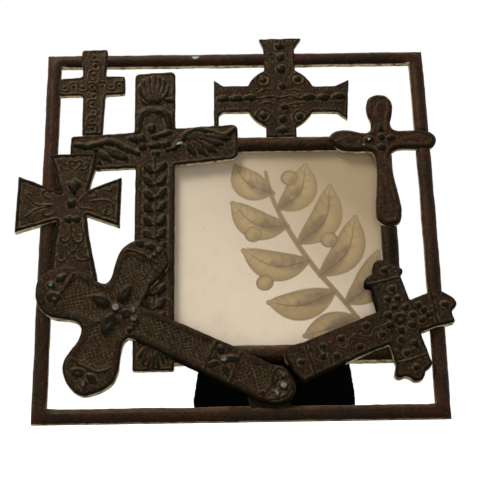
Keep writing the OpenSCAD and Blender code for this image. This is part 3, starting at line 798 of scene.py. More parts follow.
# %% Shell cross, the knot of buds and the two wings
each(shell.oval, [
    (-1.7, 13, 5.4, 6.8, 0), (-12.4, 6.2, 7, 5, -30), (-7.6, 6.6, 5.4, 6, 20),
    (-7.1, 0.7, 5.4, 5.2, 0), (0.3, 1.8, 9.6, 5, 4), (7, 2.6, 5.6, 5.6, 0),
    (6.2, 9.3, 11.5, 4.2, 18), (0.4, 7, 5, 4.4, 0), (0.8, -3.2, 5.2, 4, 10)], 1.2)
shell.ridge([
    (-46.6, 2.5), (-41.4, 1.8), (-34, 3.1), (-26.6, 4.4), (-20.6, 2.1), (-14.5, -1.3),
    (-9.4, -3.6)], 4.6, 1.3, 0.25)
shell.oval((-40.6, 1.6, 11, 4.8, 2), 1.3)
each(shell.leaf, [
    ((-30, 1.2), (-26, -2.4), (-20.6, -5.6)), ((-36, -0.4), (-31, -4.4), (-25.5, -8.2)),
    ((-41, -2), (-36, -6.6), (-31, -10)), ((-24, -0.6), (-20, -4.8), (-15.2, -7.6))], 6.2, 1.2, 0.1)
shell.ridge([
    (7.8, -1.8), (12.6, 0.4), (15.4, 4.4), (20.4, 9.8), (25.7, 11.4), (31.7, 10.6), (37.6, 8.6),
    (42.9, 7.8), (47.2, 11.6)], 4.2, 1.25, 0.3)
shell.oval((24.6, 7.6, 13.5, 7.5, 8), 0.95)
each(shell.leaf, [
    ((29, 8), (37, 6.2), (45.8, 5.4)), ((27, 6), (34.4, 3.2), (41.3, 1.6)),
    ((25, 4.8), (30.6, 0.6), (37.5, -3.4)), ((22, 4.2), (26.6, -1), (31.2, -5.6)),
    ((19, 4.2), (21.9, -0.9), (24.5, -5.8))], 4.8, 1.3, 0.1, 1.2)

# %% Shell cross, the leafy shaft and the fluted foot
shell.ridge([(0.4, -6), (1.2, -24), (1.4, -48.5), (1, -70), (0.6, -116)], 1.7, 0.6, 0.1)
for side in (-1, 1):
    shell.ridge([(0.6 + side * 9, -12), (0.6 + side * 9.2, -60), (0.6 + side * 9, -119)],
                1.7, 0.45, 0.1)
    for number in range(12):
        low = -12.4 - number * 8.5 + (side - 1) * 0.4
        shell.leaf([(0.8, low - 3.0), (0.7 + side * 3.2, low - 1.4), (0.6 + side * 6.2, low + 3.2)],
                   4.9, 1.15, 0.1, 1.25)
for turn in range(-60, 61, 20):
    a = math.radians(turn - 90)
    tip = (0.7 + 10.6 * math.cos(a) * 0.85, -121.6 + 13.4 * math.sin(a))
    shell.ridge([(0.7 + 2 * math.cos(a), -120.8), tip], 2.5, 0.95, 0.2)
shell.oval((0.7, -119.6, 6.4, 3.8, 0), 1.0)
shell.oval((1, -129.6, 3.6, 7.6, 0), 1.1)
shell.flat([(-64, -2.2), (-33, -1.8), (-34.4, -16), (-64, -16)])
shell.chip((15.4, 2.6, 3.6, 1.1, 28))
cast_cross("shell_cross", shell, LIGHT_FACE, LIGHT_EDGE, (-49, 165), seed=2, voxel=0.43)

# %% [markdown]
# ## The flared cross
# It lies over the left bar. A raised edge runs round it, and fine curled lines that end
# in hearts fill its arms, with a bead at the middle.

# %% Flared cross
patte = Carving([
    (-15.5, 30.9, 0.8), (13.4, 31.6, 0.8), (12.1, 20), (9.2, 9.3), (8.6, 7.6, 0.8), (28, 15.5, 0.8),
    (27.4, -15.7, 0.8), (8.2, -8.4, 0.8), (9.6, -20), (15.5, -48.3), (16.3, -54, 0.8),
    (-12.5, -54, 0.8), (-11.2, -39.2), (-10.4, -22.8), (-9, -11.4, 0.8), (-33.2, -18.6, 0.8),
    (-32.6, 17, 0.8), (-7.6, 6.6, 0.8), (-9.8, 12.4), (-12.2, 23.3)])
patte.rim(0.3, 1.7, 0.55)
patte.dark_edge = 0.8
patte.score(2.5, 1.0, 0.35)
each(patte.ridge, [
    [(-24.5, 5.5), (-26.8, 6), (-28, 4.7), (-25.3, 1.9), (-22.2, -0.9), (-18.3, -1.9),
     (-13.8, -1.8), (-11.1, -2.5)], [(-27, -9.3), (-23.3, -5.9), (-18.8, -3.8), (-13.7, -2.3)],
    [(-15.9, -4.9), (-17.4, -5.9), (-16.7, -8.1), (-14.7, -8.8), (-12.2, -7.8), (-10.3, -6.4)],
    [(-13.4, 2), (-16.4, 3.4), (-17.6, 6), (-15.6, 7.8), (-13.4, 6.6)],
    [(5.5, 2.6), (3.4, -0.2), (4.1, -3.8), (7.1, -4.5), (11.6, -5.3)],
    [(4.9, 1.5), (8, 5), (11.3, 6.4), (13.6, 4.9), (13, 2.7), (11, 2.8)],
    [(10.1, 0), (15.3, 0.3), (18.6, 1), (21.8, -0.5), (24.2, -3)],
    [(19, -5.4), (18.8, -7.9), (21.1, -8.6), (23.6, -6.9)], [(18.7, 7.4), (20.7, 6.4), (22.6, 8)],
    [(0.2, 20.4), (-2.6, 23), (-2.4, 26.2), (0.4, 25.4), (3.4, 26.4), (3.6, 23.2), (0.2, 20.4)],
    [(-3.4, 21), (-5.8, 20.4), (-7.4, 22.2), (-6.4, 24.4), (-4.6, 23.6)],
    [(4, 21.2), (6.4, 20.4), (8.2, 22), (7.2, 24.4), (5.4, 23.8)], [(-6.8, 24.8), (-9, 27.4)],
    [(7.6, 24.9), (9.4, 27.6)], [(-1, -14.6), (-0.3, -20.5)],
    [(-0.3, -20.5), (-1.9, -24.3), (-4.4, -25.3), (-6.4, -23.6), (-5.8, -21.8), (-4.2, -21.8)],
    [(-0.3, -20.5), (1.3, -24.3), (3.9, -25.7), (6.7, -23.8), (6, -21.1), (4.1, -21.6)],
    [(-3.7, -27.7), (-1.1, -29.1), (0.3, -31), (3.7, -28.8), (4.9, -26.4)],
    [(0.3, -31), (-1.5, -34.5), (-4.9, -37.2), (-7.9, -35.8), (-8.4, -33.7), (-7, -33.1)],
    [(0.3, -31), (3, -35.3), (6.2, -36.9), (9.6, -35.7), (9.4, -33.9), (8, -34.3)]], 1.3, 0.5)
patte.bead((-0.6, -1.2), 3, 1.3)
patte.leaf([(0.7, 3.6), (0.6, 8), (0.6, 13.8)], 8.4, 1.25, 0.0, 1.9)
each(patte.oval, [(-2.3, -11.1, 5.6, 4.4, 10), (2.4, -11.2, 5.6, 4.4, -10)], 1.1)
cast_cross("patte_cross", patte, 5.6, LIGHT_EDGE, (-96, 130.5), seed=3, voxel=0.36)

# %% [markdown]
# ## The lobed cross
# One of the two heavy castings, turned down to the right over the window's corner. Its
# sides slope, so that the face is narrower than the outline. Sunk panels of crossed
# cords fill it, with a flower of five petals at the middle and leaves in the lobes.

# %% Lobed cross
lobed = Carving([
    (-10.5, 15.5), (-13, 26.2), (-13, 33.8), (-8.3, 41.7), (-0.1, 46.1), (9.2, 43.8), (15.3, 36.6),
    (15, 29), (12.8, 20), (12.6, 7.9, 1.4), (37, 8.1, 2), (71.4, 9.2, 2), (93.3, 9.2, 1),
    (99.3, 10.8), (105.1, 8.6), (110, 4.4), (111.8, -1.1), (109.8, -6.9), (103.8, -10.8),
    (96, -12.4, 1), (60, -12, 2), (18.5, -11.8, 1.5), (15, -12.4), (13.8, -16), (15.7, -23.2),
    (18.9, -32), (18.8, -40.7), (12.6, -49.2), (6.8, -52.8), (-2.1, -50.9), (-9, -44.8),
    (-11.1, -38.3), (-10.2, -31), (-9.6, -24.1), (-11.8, -18.4), (-16.5, -17), (-30.4, -20.6),
    (-39.7, -17.8), (-45.9, -9.3), (-46.9, -2.2), (-43.1, 5.5), (-34.1, 11.2), (-22.8, 11.3),
    (-15.5, 9.6), (-11.6, 10.7)])
lobed.hatched([
    (-8.6, 30.6), (0, 32.4), (8.6, 31.2), (11, 20), (11.2, 7), (3, 3), (-5, 5), (-7.6, 12),
    (-9, 20)], 12)
lobed.hatched([
    (-29.4, 4.8), (-24.4, 7), (-15, 7.4), (-6.8, 7.2), (-3, 2), (-4, -10), (-8, -12.8),
    (-16, -12.8), (-25.6, -13.6), (-30, -6)], 0)
lobed.hatched([
    (-6.4, -24), (-6.6, -15), (0, -8), (8.6, -7.6), (10.8, -17.8), (13, -30), (9.3, -34.8),
    (0, -35.6), (-6.8, -35)], 8)
lobed.hatched([(13.4, -8.4, 1), (15.6, 4.8, 1), (59.2, 6, 1), (59.6, -8.6, 1)], 4)
lobed.hatched([(78.4, -8.6, 1), (77.2, 6.2, 1), (94.2, 6.4, 1), (96.6, -1), (95.4, -9.4, 1)], 4)
lobed.dark_edge = 0.7
# bright gives a bead a pale top: rubbed metal and a painted highlight.
lobed.bead((0.6, 0), 2.9, 1.5, 1.0)
each(lobed.oval, [
    (-8.8, 0.2, 12, 6.8, 176), (1.2, 9.4, 13, 6.6, 84), (1.4, -9.8, 14, 7, 92),
    (7.8, -0.6, 7.6, 5.6, 10)], 1.15, 0.4)
each(lobed.oval, [
    (-5.1, 40.3, 7.4, 4.6, -20), (1.2, 41.2, 7, 4.6, 12), (-35.3, 1.8, 6.8, 4.8, 60),
    (7.9, -42.1, 7.6, 5, -24), (72.4, 1.6, 8.4, 4.6, 24), (64.7, 3.6, 5.4, 4, 130),
    (72, -5.4, 7.6, 4.2, -40), (64.2, -5.6, 7.2, 4.2, 48)], 1.0)
lobed.oval((-33.6, -9.8, 8.6, 7, 20), 1.0, 0.6)
lobed.oval((-0.8, -42.4, 8.8, 5.8, 14), 1.0, 0.5)
# Each bright value paints a pale top: rubbed metal and a painted highlight.
for x, y, radius, bright in [
    (10.4, 2.6, 2.1, 0.5), (13, -1.8, 2.4, 0.6), (14, -8.4, 1.7, 0), (6.6, 40.8, 2.2, 0.2),
    (6, 37.2, 1.7, 0.2), (-38.6, -4, 2.4, 0.7), (5.4, -46.6, 2.3, 0.4), (68.4, -0.4, 2.5, 0.9),
    (102, 5.6, 1.9, 0.3), (104.4, 0.5, 2.6, 1), (102.8, -5, 2.3, 1), (95.6, -8.2, 1.3, 0)]:
    lobed.bead((x, y), radius, 1.25, bright)
each(lobed.ridge, [
    [(-9.8, 33.2), (-2.5, 34.8), (9.4, 33.4)],
    [(-30.4, 7.4), (-30.4, 2), (-31.4, -4), (-31.6, -13.6)],
    [(-8, -37), (0.6, -38), (10.2, -36.8), (14.4, -32.4)], [(60.8, -9.4), (60.4, 7.2)],
    [(76.6, -9.4), (75.6, 7.2)], [(97, -9.6), (98, -1), (96.6, 7), (100.4, 9)],
    [(100.4, 9.2), (106, 6.6), (108.4, 0.6), (106.6, -5.6), (101.2, -9.4)]], 1.8, 0.5, 0)
# Its dark box puts painted shade on the long arm's sides where they lie over the shell cross's
# foot.
cast_cross("lobed_cross", lobed, HEAVY_FACE, HEAVY_EDGE, (-70, 65), -26.8, seed=4, voxel=0.42,
           dark_boxes=[(-58, 62, 0, 75)])

# %% Dark webs between a casting and a bar: iron at the foot, and painted shade at the waist
for place, top, corners in (
        ("foot", 3.4, [(5.6, 6.5, 0.5), (3.6, 14, 1), (15.6, 17, 1), (26, 12, 1),
                       (27.4, 6.5, 0.5)]),
        ("waist_shade", 2.6, [(-108.4, 149.6, 0.5), (-105.4, 142.6, 0.5), (-102.8, 137.4, 0.5),
                        (-102.8, 118.4, 0.5), (-104.6, 110, 0.5), (-108.4, 106, 0.5)])):
    web = plate(place + "_web", smooth_line(corners, closed=True), top, 0.6)
    uneven(web.data, 8, (0.5, 3.2, 0))
    # edge=0.7 makes both webs dark, as painted shade between the parts.
    set_numbers(web.data, edge=0.7)
    settle(web, "root")

# %% [markdown]
# ## The disc cross
# It stands on the window's top rail and crosses the top bar. A small disc fills the
# corners between its arms, a wavy string of buds runs along them, and the ends are
# beaded. A casting sprue is left between its left tip and the cross below.

# %% Disc cross
celtic = Carving([
    (-12.4, 41.1, 1), (14.1, 41.6, 1), (9.5, 34.6, 1.2), (9.4, 19, 0.4), *arc(21.2, 61, 24),
    (19.8, 7.7, 0.4), (33.5, 7.7, 1), (42, 12.2, 0.8), (40, -15.2, 0.8), (34, -10, 1),
    (18.7, -10, 0.4), *arc(21.2, -31, -62), (9.1, -19.1, 0.4), (9.1, -26.6, 0.4),
    (-9.1, -26.6, 0.4), (-9.1, -19.1, 0.4), *arc(21.2, -118, -151), (-19, -9.3, 0.4),
    (-34.8, -9.3, 1), (-37.4, -11.4, 0.8), (-37.4, -18.6, 0.4), (-40.4, -18.6, 0.4),
    (-40.2, 12.6, 0.8), (-34.8, 8.5, 1), (-19.4, 8.5, 0.4), *arc(21.2, 154, 119), (-9.4, 19, 0.4),
    (-9.6, 34.6, 1.2)])
celtic.rim(0.4, 0.9, 0.25)
celtic.ridge([
    (-37, -1), (-34, 0.2), (-30.6, -1.6), (-26.8, 0.2), (-22.8, -1.2), (-18.6, 0.8), (-13, -0.8),
    (-7, 0.6), (0, -0.4), (6, 0.8), (11.6, -1.2), (17.4, 0.6), (21.8, -1.4), (26.4, 0.2),
    (30.8, -1.4), (35.2, 0.8), (38.4, -0.6)], 1.6, 0.5, 0.2)
for x, y in ((-34.6, -0.6), (-26.6, -0.6), (-18.6, 0.2), (17.4, 0), (26.4, -0.4), (35.2, 0.4)):
    celtic.oval((x, y, 8.2, 4.8, 0), 1.2)
each(celtic.oval, [
    (0.3, 35.4, 5.8, 5, 0), (0.8, 27.8, 5.4, 6.2, 0), (0.9, 19.6, 6, 6.2, 0), (1.4, 7.4, 4.2, 5, 0),
    (2.4, -6.7, 4.6, 4.6, 0), (1.1, -14.8, 5.4, 5.4, 0), (0.9, -22, 6.6, 5, 0)], 1.1)
for x, y in ((-10.2, 12.2), (10.9, 12.6), (-10.6, -12.2), (11.2, -13.0)):
    celtic.bead((x, y), 2.2, 0.9)
    celtic.ring((x, y), 4.2, 1.2, 0.5)
each(celtic.ridge, [
    [(-13.6, 3.2), (-9, 5.4), (-4.2, 4.4)], [(4, 4.6), (8.8, 4.8), (13.4, 3.4)],
    [(-12.6, -4.4), (-8, -3.4), (-4, -4.8)], [(5.2, -4.6), (9.6, -4.6), (14, -4)]], 1.4, 0.5)
for step in range(8):
    each(celtic.bead, [(start + step * 2.2, y) for start, y in (
        (-36.6, 6.4), (20.4, 5.6), (-36, -7.2), (20.4, -8))], 0.6, 0.35)
for step in range(9):
    celtic.bead((-8.8 + step * 2.4, 38.9), 0.65, 0.4)
for step in range(6):
    each(celtic.bead, [(-7.2, 21 + step * 2.3), (7, 21 + step * 2.3)], 0.6, 0.35)
cast_cross("celtic_cross", celtic, LIGHT_FACE, LIGHT_EDGE, (26.9, 198), seed=5, voxel=0.36)

# %% [markdown]
# ## The drop-footed cross
# A plain cross with rounded arms, over the window's top right corner. A low band follows
# its edge, a flat leaf lies in each of its three arms and two soft flutes run down its foot.

# %% Drop-footed cross
teardrop = Carving([
    (-7.7, 21.9), (-6.4, 27.2), (-2.8, 29.8), (0.9, 30.3), (5.2, 28.9), (7.7, 24.7), (7.9, 20.1),
    (7, 14.9), (6.1, 10.4), (7.9, 6.6), (15.8, 5.8), (23.9, 6.4), (29.1, 4.9), (32.5, 1.1),
    (32.1, -3.3), (28.9, -6.2), (20.3, -6.5), (9.7, -6.7), (5.5, -9.2), (4.6, -14), (6, -22.7),
    (7.9, -34.2), (9.3, -42.8), (9.2, -48.4), (7.9, -53.3), (3.9, -55.7), (-0.6, -55.6),
    (-4.3, -53.1), (-5.7, -49.6), (-5, -36.9), (-3.8, -22.6), (-4, -13.8), (-5.1, -9.4),
    (-7.6, -7.9), (-16.9, -7.8), (-23.5, -7), (-28, -4), (-31.1, -0.2), (-29.6, 4.2), (-24.8, 6.3),
    (-18.8, 6.6), (-9.6, 4.6), (-6.2, 6.1), (-5.6, 11.3), (-7.3, 16.6)])
teardrop.rim(0.8, 2.6, 0.26)
each(teardrop.ridge, [[(0, -14), (-0.6, -32), (-1.6, -51)], [(1.4, -16), (2.8, -34), (4.2, -50)]],
     2.8, 0.22)
teardrop.leaf([(0.2, 13.6), (0.2, 24)], 6, 0.35, 0.0)
each(teardrop.leaf, [[(-27, -1), (-15, -0.4)], [(14, -0.4), (28.4, -0.6)]], 5, 0.35, 0.0)
each(teardrop.oval, [
    (-0.1, 7.2, 3.4, 5.4, 0), (-0.2, 1, 4.4, 5, 0), (-0.6, -6, 6, 4.6, 0),
    (-7.4, -0.4, 5.4, 4.6, 0), (5.6, 0.2, 6.4, 4.4, 0)], 1.0)
# These two pale marks are painted glints, drawn as chips.
each(teardrop.chip, [(-7.6, -0.9, 1.3, 0.8, 30), (-10.6, -4, 0.9, 0.7, 0)])
cast_cross("teardrop_cross", teardrop, 5.1, (2.4, 2.0), (86.3, 169.2), seed=6, voxel=0.36,
           plain=0.4)

# %% [markdown]
# ## The trefoil cross
# The second heavy casting, turned up to the right over the window's lower right corner.
# Small round studs lie along a curling vine, and a band crosses each arm before its
# three-lobed end.

# %% Trefoil cross
botonny = Carving([
    (-51.8, 9.1), (-62.9, 9.7), (-64.9, 8.6), (-66.6, 4.6), (-66, -0.2), (-65.8, -4.2), (-64, -8.7),
    (-62, -12.6), (-58.7, -12), (-47.2, -11.4), (-27.9, -10.5), (-10, -10.5, 0.8), (-11.4, -22.7),
    (-12.9, -25.1), (-14.4, -28.3), (-12.7, -30.2), (-9.7, -30.3), (-7.4, -32), (-5.7, -34.6),
    (-2.3, -35.6), (0.8, -33.8), (2.7, -31.5), (5.7, -30.8), (7.7, -29), (8, -25.2),
    (9.3, -10.6, 0.8), (18.8, -10.9), (28.9, -12.6), (30.2, -11.6), (30.5, -8.5), (31.5, -5.7),
    (34.3, -4.3), (35.6, -2.3), (35, 1.4), (32.6, 4.6), (30.2, 7.7), (27.9, 9.4), (24.6, 9.1),
    (11.9, 8.8, 0.8), (13.1, 22), (13.3, 24), (15, 25.3), (15.7, 27.5), (14, 29.8), (12, 32.3),
    (8.7, 35.3), (6.6, 37.4), (2.8, 36.9), (1.2, 35.1), (-0.9, 31.4), (-4.5, 30.4), (-7.2, 28.7),
    (-7.8, 25.7), (-5.2, 23.8), (-8, 9.4, 0.8)], steps=4)
botonny.rim(0.7, 1.2, 0.22)
botonny.dark_edge = 0.95
for band, aside, up in (([(-6.2, 25.6), (3, 24.4), (13, 22.9)], 0, 1.3),
                        ([(24, 8), (22, -1.4), (19.8, -10.4)], 1.3, 0),
                        ([(-10.8, -22), (-1.6, -23.4), (7.8, -23.7)], 0, 1.3),
                        ([(-53.2, 8.2), (-54, 0), (-54.4, -10.6)], 1.3, 0)):
    botonny.ridge(band, 1.5, 0.5, 0)
    botonny.groove([(x + aside, y + up) for x, y in band], 0.9, 0.4)
each(botonny.ridge, [
    [(-6, 0.1), (-11.2, 0.6), (-14, 0.2), (-16.4, -2.4), (-20.6, -1.6), (-25.4, 1.3), (-28.9, 0.4),
     (-32.9, -3.4), (-36.1, -2.1), (-38.1, 0.3)],
    [(-50.2, 0.5), (-48.9, -3.5), (-45.9, -5), (-43.2, -3)], [(2.2, 16.4), (0.8, 19.4), (2.4, 22)],
    [(12, 7.4), (16.4, 7.2), (18.4, 5)],
    [(0.4, -9.4), (-0.4, -13.6), (1.4, -18.6), (3.6, -20.6)]], 1.1, 0.45)
each(botonny.bead, [
    (5.8, 30.3), (0.4, 13.8), (5.2, 18.6), (5.6, 12.2), (14.8, 4), (18.1, -3.1), (12.6, -4.6),
    (28.8, -1.1), (-17.6, 4.1), (-33.3, 2.6), (-11.2, -3.7), (-25.5, -5.7), (-44.8, 2.3),
    (-39.7, -5.7), (-46.7, -2.8), (-59.2, -1.2), (-2.9, -10.6), (3.4, -15.2), (-3.3, -18.7),
    (-1.7, -28.3), (16.4, 0.4)], 2.0, 1.1)
botonny.oval((1.7, 0.8, 7.6, 7.2, 0), 1.0, 0.8)
each(botonny.bead, [
    (1.9, 8), (7.5, 5.6), (-3.4, 5.1), (-5.2, -0.5), (-0.2, -5.6), (6.5, -5), (9.5, 0.1)], 2.1, 1.1)
cast_cross("botonny_cross", botonny, HEAVY_FACE, (1.6, 1.4), (88.3, 54.5), 21.5, seed=7, voxel=0.38,
           dark_boxes=[(60, 80, 52, 100)])

# %% [markdown]
# ## Bars and window rails
# The outer bars have a flat back and a rounded front, and the rails round the window
# have the same front over a step that holds the glass. They were cast too, so they are
# a little thick and thin, and the right bar bows outwards. One profile is extruded, cut
# into short lengths, mitred at its ends and then moved point by point. Where a cross
# lies over a bar the bar's crown is lowered under it, so that nothing shows through the
# carving.

# %% Profiles of a bar and of a rail
BAR_SIDE = 230                  # side of the outer square
BAR_FLAT, BAR_TOP = 2.0, 4.4    # heights of a bar's straight sides and of its crown
RAIL_W, RAIL_FLAT, RAIL_TOP = 9.6, 1.0, 4.0
LIP, RAIL_BACK = 4.0, -5.5      # how far a rail laps over the glass, and its back
WINDOW = 120.2                  # side of the sight opening
WINDOW_MID = (22.9, 103.4)
RAIL_SHADE = (-28, 50, 20, 60)  # the rails and bars before the strut, whose sides get painted shade
FLAKE = (-24.6, 226.6)          # old paint shows here on the top bar


def crown_line(width, flat, top):
    """The rounded front of a profile, from its outer side to its inner side."""
    rise, half = top - flat, width / 2 - 0.3
    radius = (half**2 + rise**2) / (2 * rise)
    spread_deg = math.degrees(math.asin(half / radius))
    return arc(radius, 90 + spread_deg, 90 - spread_deg, 11, (width / 2, top - radius))


def soft_hips(spots, profile, side, middle, blend_mm=7.0):
    """Rounds the crease where two crowned bars meet: the height follows a soft minimum of
    the distances from the two outer edges."""
    ways, heights = np.array([p for p in profile if p[1] > 0]).T
    out = side / 2 - np.abs(spots[:, :2] - middle)
    near, far = out.min(1), out.max(1)
    pull = np.clip(1 - (far - near) / blend_mm, 0, 1) ** 2 * blend_mm / 4
    front = spots[:, 2] > min(heights) - 0.01
    change = np.interp(near - pull, ways, heights) - np.interp(near, ways, heights)
    spots[front, 2] += change[front]


def mitred(node, profile, side, middle, quarter, seed, straight, bow=0.0, crown=0.2, plain=1.0):
    """One side of a square ring: the profile's x runs inwards from the ring's outer edge.
    straight gives the heights of its plain sides, and crown how dark its top is worn."""
    bm = pushed([(-1, x, z) for x, z in profile], (2, 0, 0))
    long_edges = [e for e in bm.edges if abs(e.verts[0].co.x - e.verts[1].co.x) > 1]
    bmesh.ops.subdivide_edges(bm, edges=long_edges, cuts=220, use_grid_fill=True)
    bmesh.ops.recalc_face_normals(bm, faces=bm.faces)
    for v in bm.verts:
        v.co.x *= side / 2 - v.co.y
        v.co.y -= side / 2
    piece = mesh_object(node + "_casting", bm, iron)
    mesh = piece.data
    mesh.transform(Matrix.Translation((*middle, 0))
                   @ Matrix.Rotation(math.pi / 2 * quarter, 4, "Z"))
    spots = points_of(mesh)
    depth = spots[:, 2].copy()
    soft_hips(spots, profile, side, middle)
    set_points(mesh, spots)
    uneven(mesh, seed, (0.3, 16.0, 0), (0.14, 3.5, 9))
    spots = points_of(mesh)
    x, y, z = spots.T
    if bow:
        spots[:, 0] += bow * np.clip(1 - ((y - middle[1]) / (side / 2)) ** 2, 0, 1)
    hidden = np.zeros(len(spots), bool)
    for cover in covers:
        spot = np.flatnonzero(in_box(x, y, np.vstack([cover.min(0), cover.max(0)]).T.ravel()))
        deep = inside(x[spot], y[spot], cover)
        gap, _ = along(x[spot], y[spot], closed_up(cover))
        hidden[spot[deep & (gap > 0.7)]] = True
    spots[:, 2] = np.where(hidden, np.minimum(z, BACK + 0.5), z)
    spots[:, 1] = np.maximum(y, 0)
    set_points(mesh, spots)
    plain_side = (depth > straight[0] - 0.01) & (depth < straight[1] + 0.01)
    # Before the strut the sides are marked below zero, for painted shade.
    shade = np.where(in_box(x, y, RAIL_SHADE), -1.0, 1.0)
    flake = np.hypot((x - FLAKE[0]) / 2.2, (y - FLAKE[1]) / 0.9) + 0.1 * wander(x, y, 1.3)
    set_numbers(mesh, proud=crown * np.clip((z - BAR_TOP + 1.5) / 1.2, 0, 1),
                wall=shade * plain_side, plain=plain,
                chip=np.clip(2 * (1.1 - flake), 0, 1) * (z > 2))
    return settle(piece, "root", nodes=[node])


# %% The four bars and the four rails
bar_profile = [(0, -BAR_BACK), (0, -0.8), (0, 1.7), *crown_line(BAR_W, BAR_FLAT, BAR_TOP),
               (BAR_W, 1.7), (BAR_W, -0.8), (BAR_W, -BAR_BACK)]
step = [(RAIL_W, 0), (RAIL_W - LIP, 0), (RAIL_W - LIP, RAIL_BACK)]
rail_profile = [(0, RAIL_BACK), (0, -5.3), (0, 0.7), *crown_line(RAIL_W, RAIL_FLAT, RAIL_TOP),
                (RAIL_W, 0.7), *step]
flat_profile = [(0, RAIL_BACK), (0, RAIL_FLAT), (RAIL_W, RAIL_FLAT), *step]
SIDES = ("bottom", "right", "top", "left")
for quarter, side in enumerate(SIDES):
    mitred(side + "_bar", bar_profile, BAR_SIDE, (0, BAR_SIDE / 2), quarter, 20, (-0.8, 1.7),
           bow=0.6 if side == "right" else 0.0, crown=0.27 if side == "bottom" else 0.22)
for quarter, side in enumerate(SIDES):
    mitred(side + "_rail", flat_profile if side == "left" else rail_profile,
           WINDOW + 2 * RAIL_W, WINDOW_MID, quarter, 30, (-5.3, 0.7),
           crown={"right": 0.5, "top": 0.05}.get(side, 0.2),
           plain=-0.4 if side == "right" else 0.5)

# %% [markdown]
# ## Glass, card, back and strut
# Behind the window's lip lie a pane of glass, a printed insert card and a black
# velvet-covered board with the easel strut hinged to it.

# %% Clear picture glass
def picture_glass():
    """Float glass: colourless, polished on both faces, with faint smears about 26 mm across.
    It mirrors the studio faintly."""
    material, tree, place = new_material("clear_picture_glass")
    smears = add(tree, "ShaderNodeTexNoise", {"Vector": place, "Scale": 1000 / 26, "Detail": 4})
    return finished(material, {
        "Base Color": WHITE, "Roughness": product(tree, (smears.outputs[0], 0, 1, 0.02, 0.08)),
        "IOR": 1.52, "Transmission Weight": 1.0, "Alpha": 0.3})


def dress(node, material):
    """Gives a solid of the fixed frame its finish."""
    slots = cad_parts[node].data.materials
    slots.clear()
    slots.append(material)


dress("glass_pane", picture_glass())

# %% [markdown]
# ## The insert card
# The card is cream paper with a large soft print in olive and sand. Here the print is a
# plain botanical one, a leafy branch with fruit. The paper is painted darker towards the
# top as painted shade, and a narrow grey strip low down at the right is a painted
# reflection at the glass's edge. It is drawn like a carving, but its height map is
# used as ink: each point of the card's fine grid stores how much ink and how much shade
# it has, and the paper's material mixes the colours from that.

# %% The printed branch
CARD_BACK, CARD_FRONT = -2.3, -2.1
CARD_SIDE = WINDOW + 2 * LIP - 1.2      # 0.6 mm of play on each side
half = CARD_SIDE / 2
corners = [(-half, -half), (half, -half), (half, half), (-half, half)]
ink, lines, shade = (Carving(corners, steps=0) for _ in range(3))
STEM = [(50, -52), (34, -30), (20, -12), (8, 8), (-2, 30), (-6, 48)]
LEAVES = [((38, -35), (52, -24), (58, -4)), ((32, -28), (12, -36), (-6, -34)),
          ((24, -18), (40, -4), (46, 18)), ((18, -9), (-2, -12), (-20, -2)),
          ((12, 2), (28, 16), (32, 38)), ((6, 13), (-12, 14), (-26, 28)),
          ((1, 24), (14, 34), (18, 52)), ((-2, 34), (-16, 40), (-24, 52)),
          ((44, -44), (28, -50), (14, -54))]
each(ink.leaf, LEAVES, 18.5, 1.0, 0.0)
each(lines.ridge, LEAVES, 1.0, 0.9, 0.6)
for points in LEAVES:
    root, bend, tip = np.array(points, float)
    shade.leaf([root, root * 0.6 + bend * 0.4, bend * 0.8 + tip * 0.2], 10, 1.0, 0.0, 0.8)
    ahead = (tip - root) / np.linalg.norm(tip - root)
    aside = np.array([-ahead[1], ahead[0]])
    for share in (0.2, 0.36, 0.52, 0.68, 0.82):
        spot = root * (1 - share) ** 2 + bend * 2 * share * (1 - share) + tip * share**2
        reach = 5.4 * math.sin(math.pi * share) ** 0.6
        for sign in (-1, 1):
            lines.ridge([spot, spot + (ahead * 0.8 + aside * sign) * reach], 0.7, 0.5, 0.6)
ink.ridge(STEM, 2.6, 1.0, 0.5)
lines.ridge(STEM, 1.2, 0.8, 0.5)
for x, y in ((-8, -22), (30, 4), (-14, 8), (8, 44), (58, -32)):
    ink.oval((x, y, 10, 9, 20), 1.0)
    lines.ring((x, y), 4.6, 0.8, 0.7)
    shade.oval((x + 1.5, y - 1.5, 6, 5, 20), 0.8)

# %% The card's paper and its mesh
def printed_card():
    """Matt coated card: cream paper, a soft sand-coloured print and olive-brown lines."""
    material, tree, place = new_material("cream_printed_card")
    amount, line, wash, deep, margin = (
        add(tree, "ShaderNodeAttribute", attribute_name=name).outputs["Fac"]
        for name in ("ink", "line", "wash", "shade", "margin"))
    mottle, foxing, tooth = (
        add(tree, "ShaderNodeTexNoise", {
            "Vector": place, "Scale": 1000 / size_mm, "Detail": detail}).outputs[0]
        for size_mm, detail in ((9, 4), (1.4, 2), (0.6, 2)))
    height = add(tree, "ShaderNodeSeparateXYZ", {0: place}).outputs["Z"]
    leaf = paint(tree, "#76603f", ("#b09668", amount), ("#9d8256", (mottle, 0.45, 0.75)),
                 ("#80694a", deep, (mottle, 0.2, 0.5)))
    # The paper is painted darker towards the top, as painted shade from the frame above it.
    colour = paint(
        tree, "#e5d3b9", ("#cebea5", (height, 0.05, 0.14)), ("#cfb999", (mottle, 0.5, 0.8), 0.5),
        ("#a87c4c", (foxing, 0.69, 0.75), (mottle, 0.4, 0.6)), ("#997e52", wash),
        # The grey strip is a painted reflection at the glass's edge.
        (leaf, (amount, 0.02, 0.25)), ("#5f4f3c", line, 0.85), ("#b0b0a8", margin))
    return finished(material, {"Base Color": colour, "Roughness": 0.55}, (tooth, 0.15, 0.05))


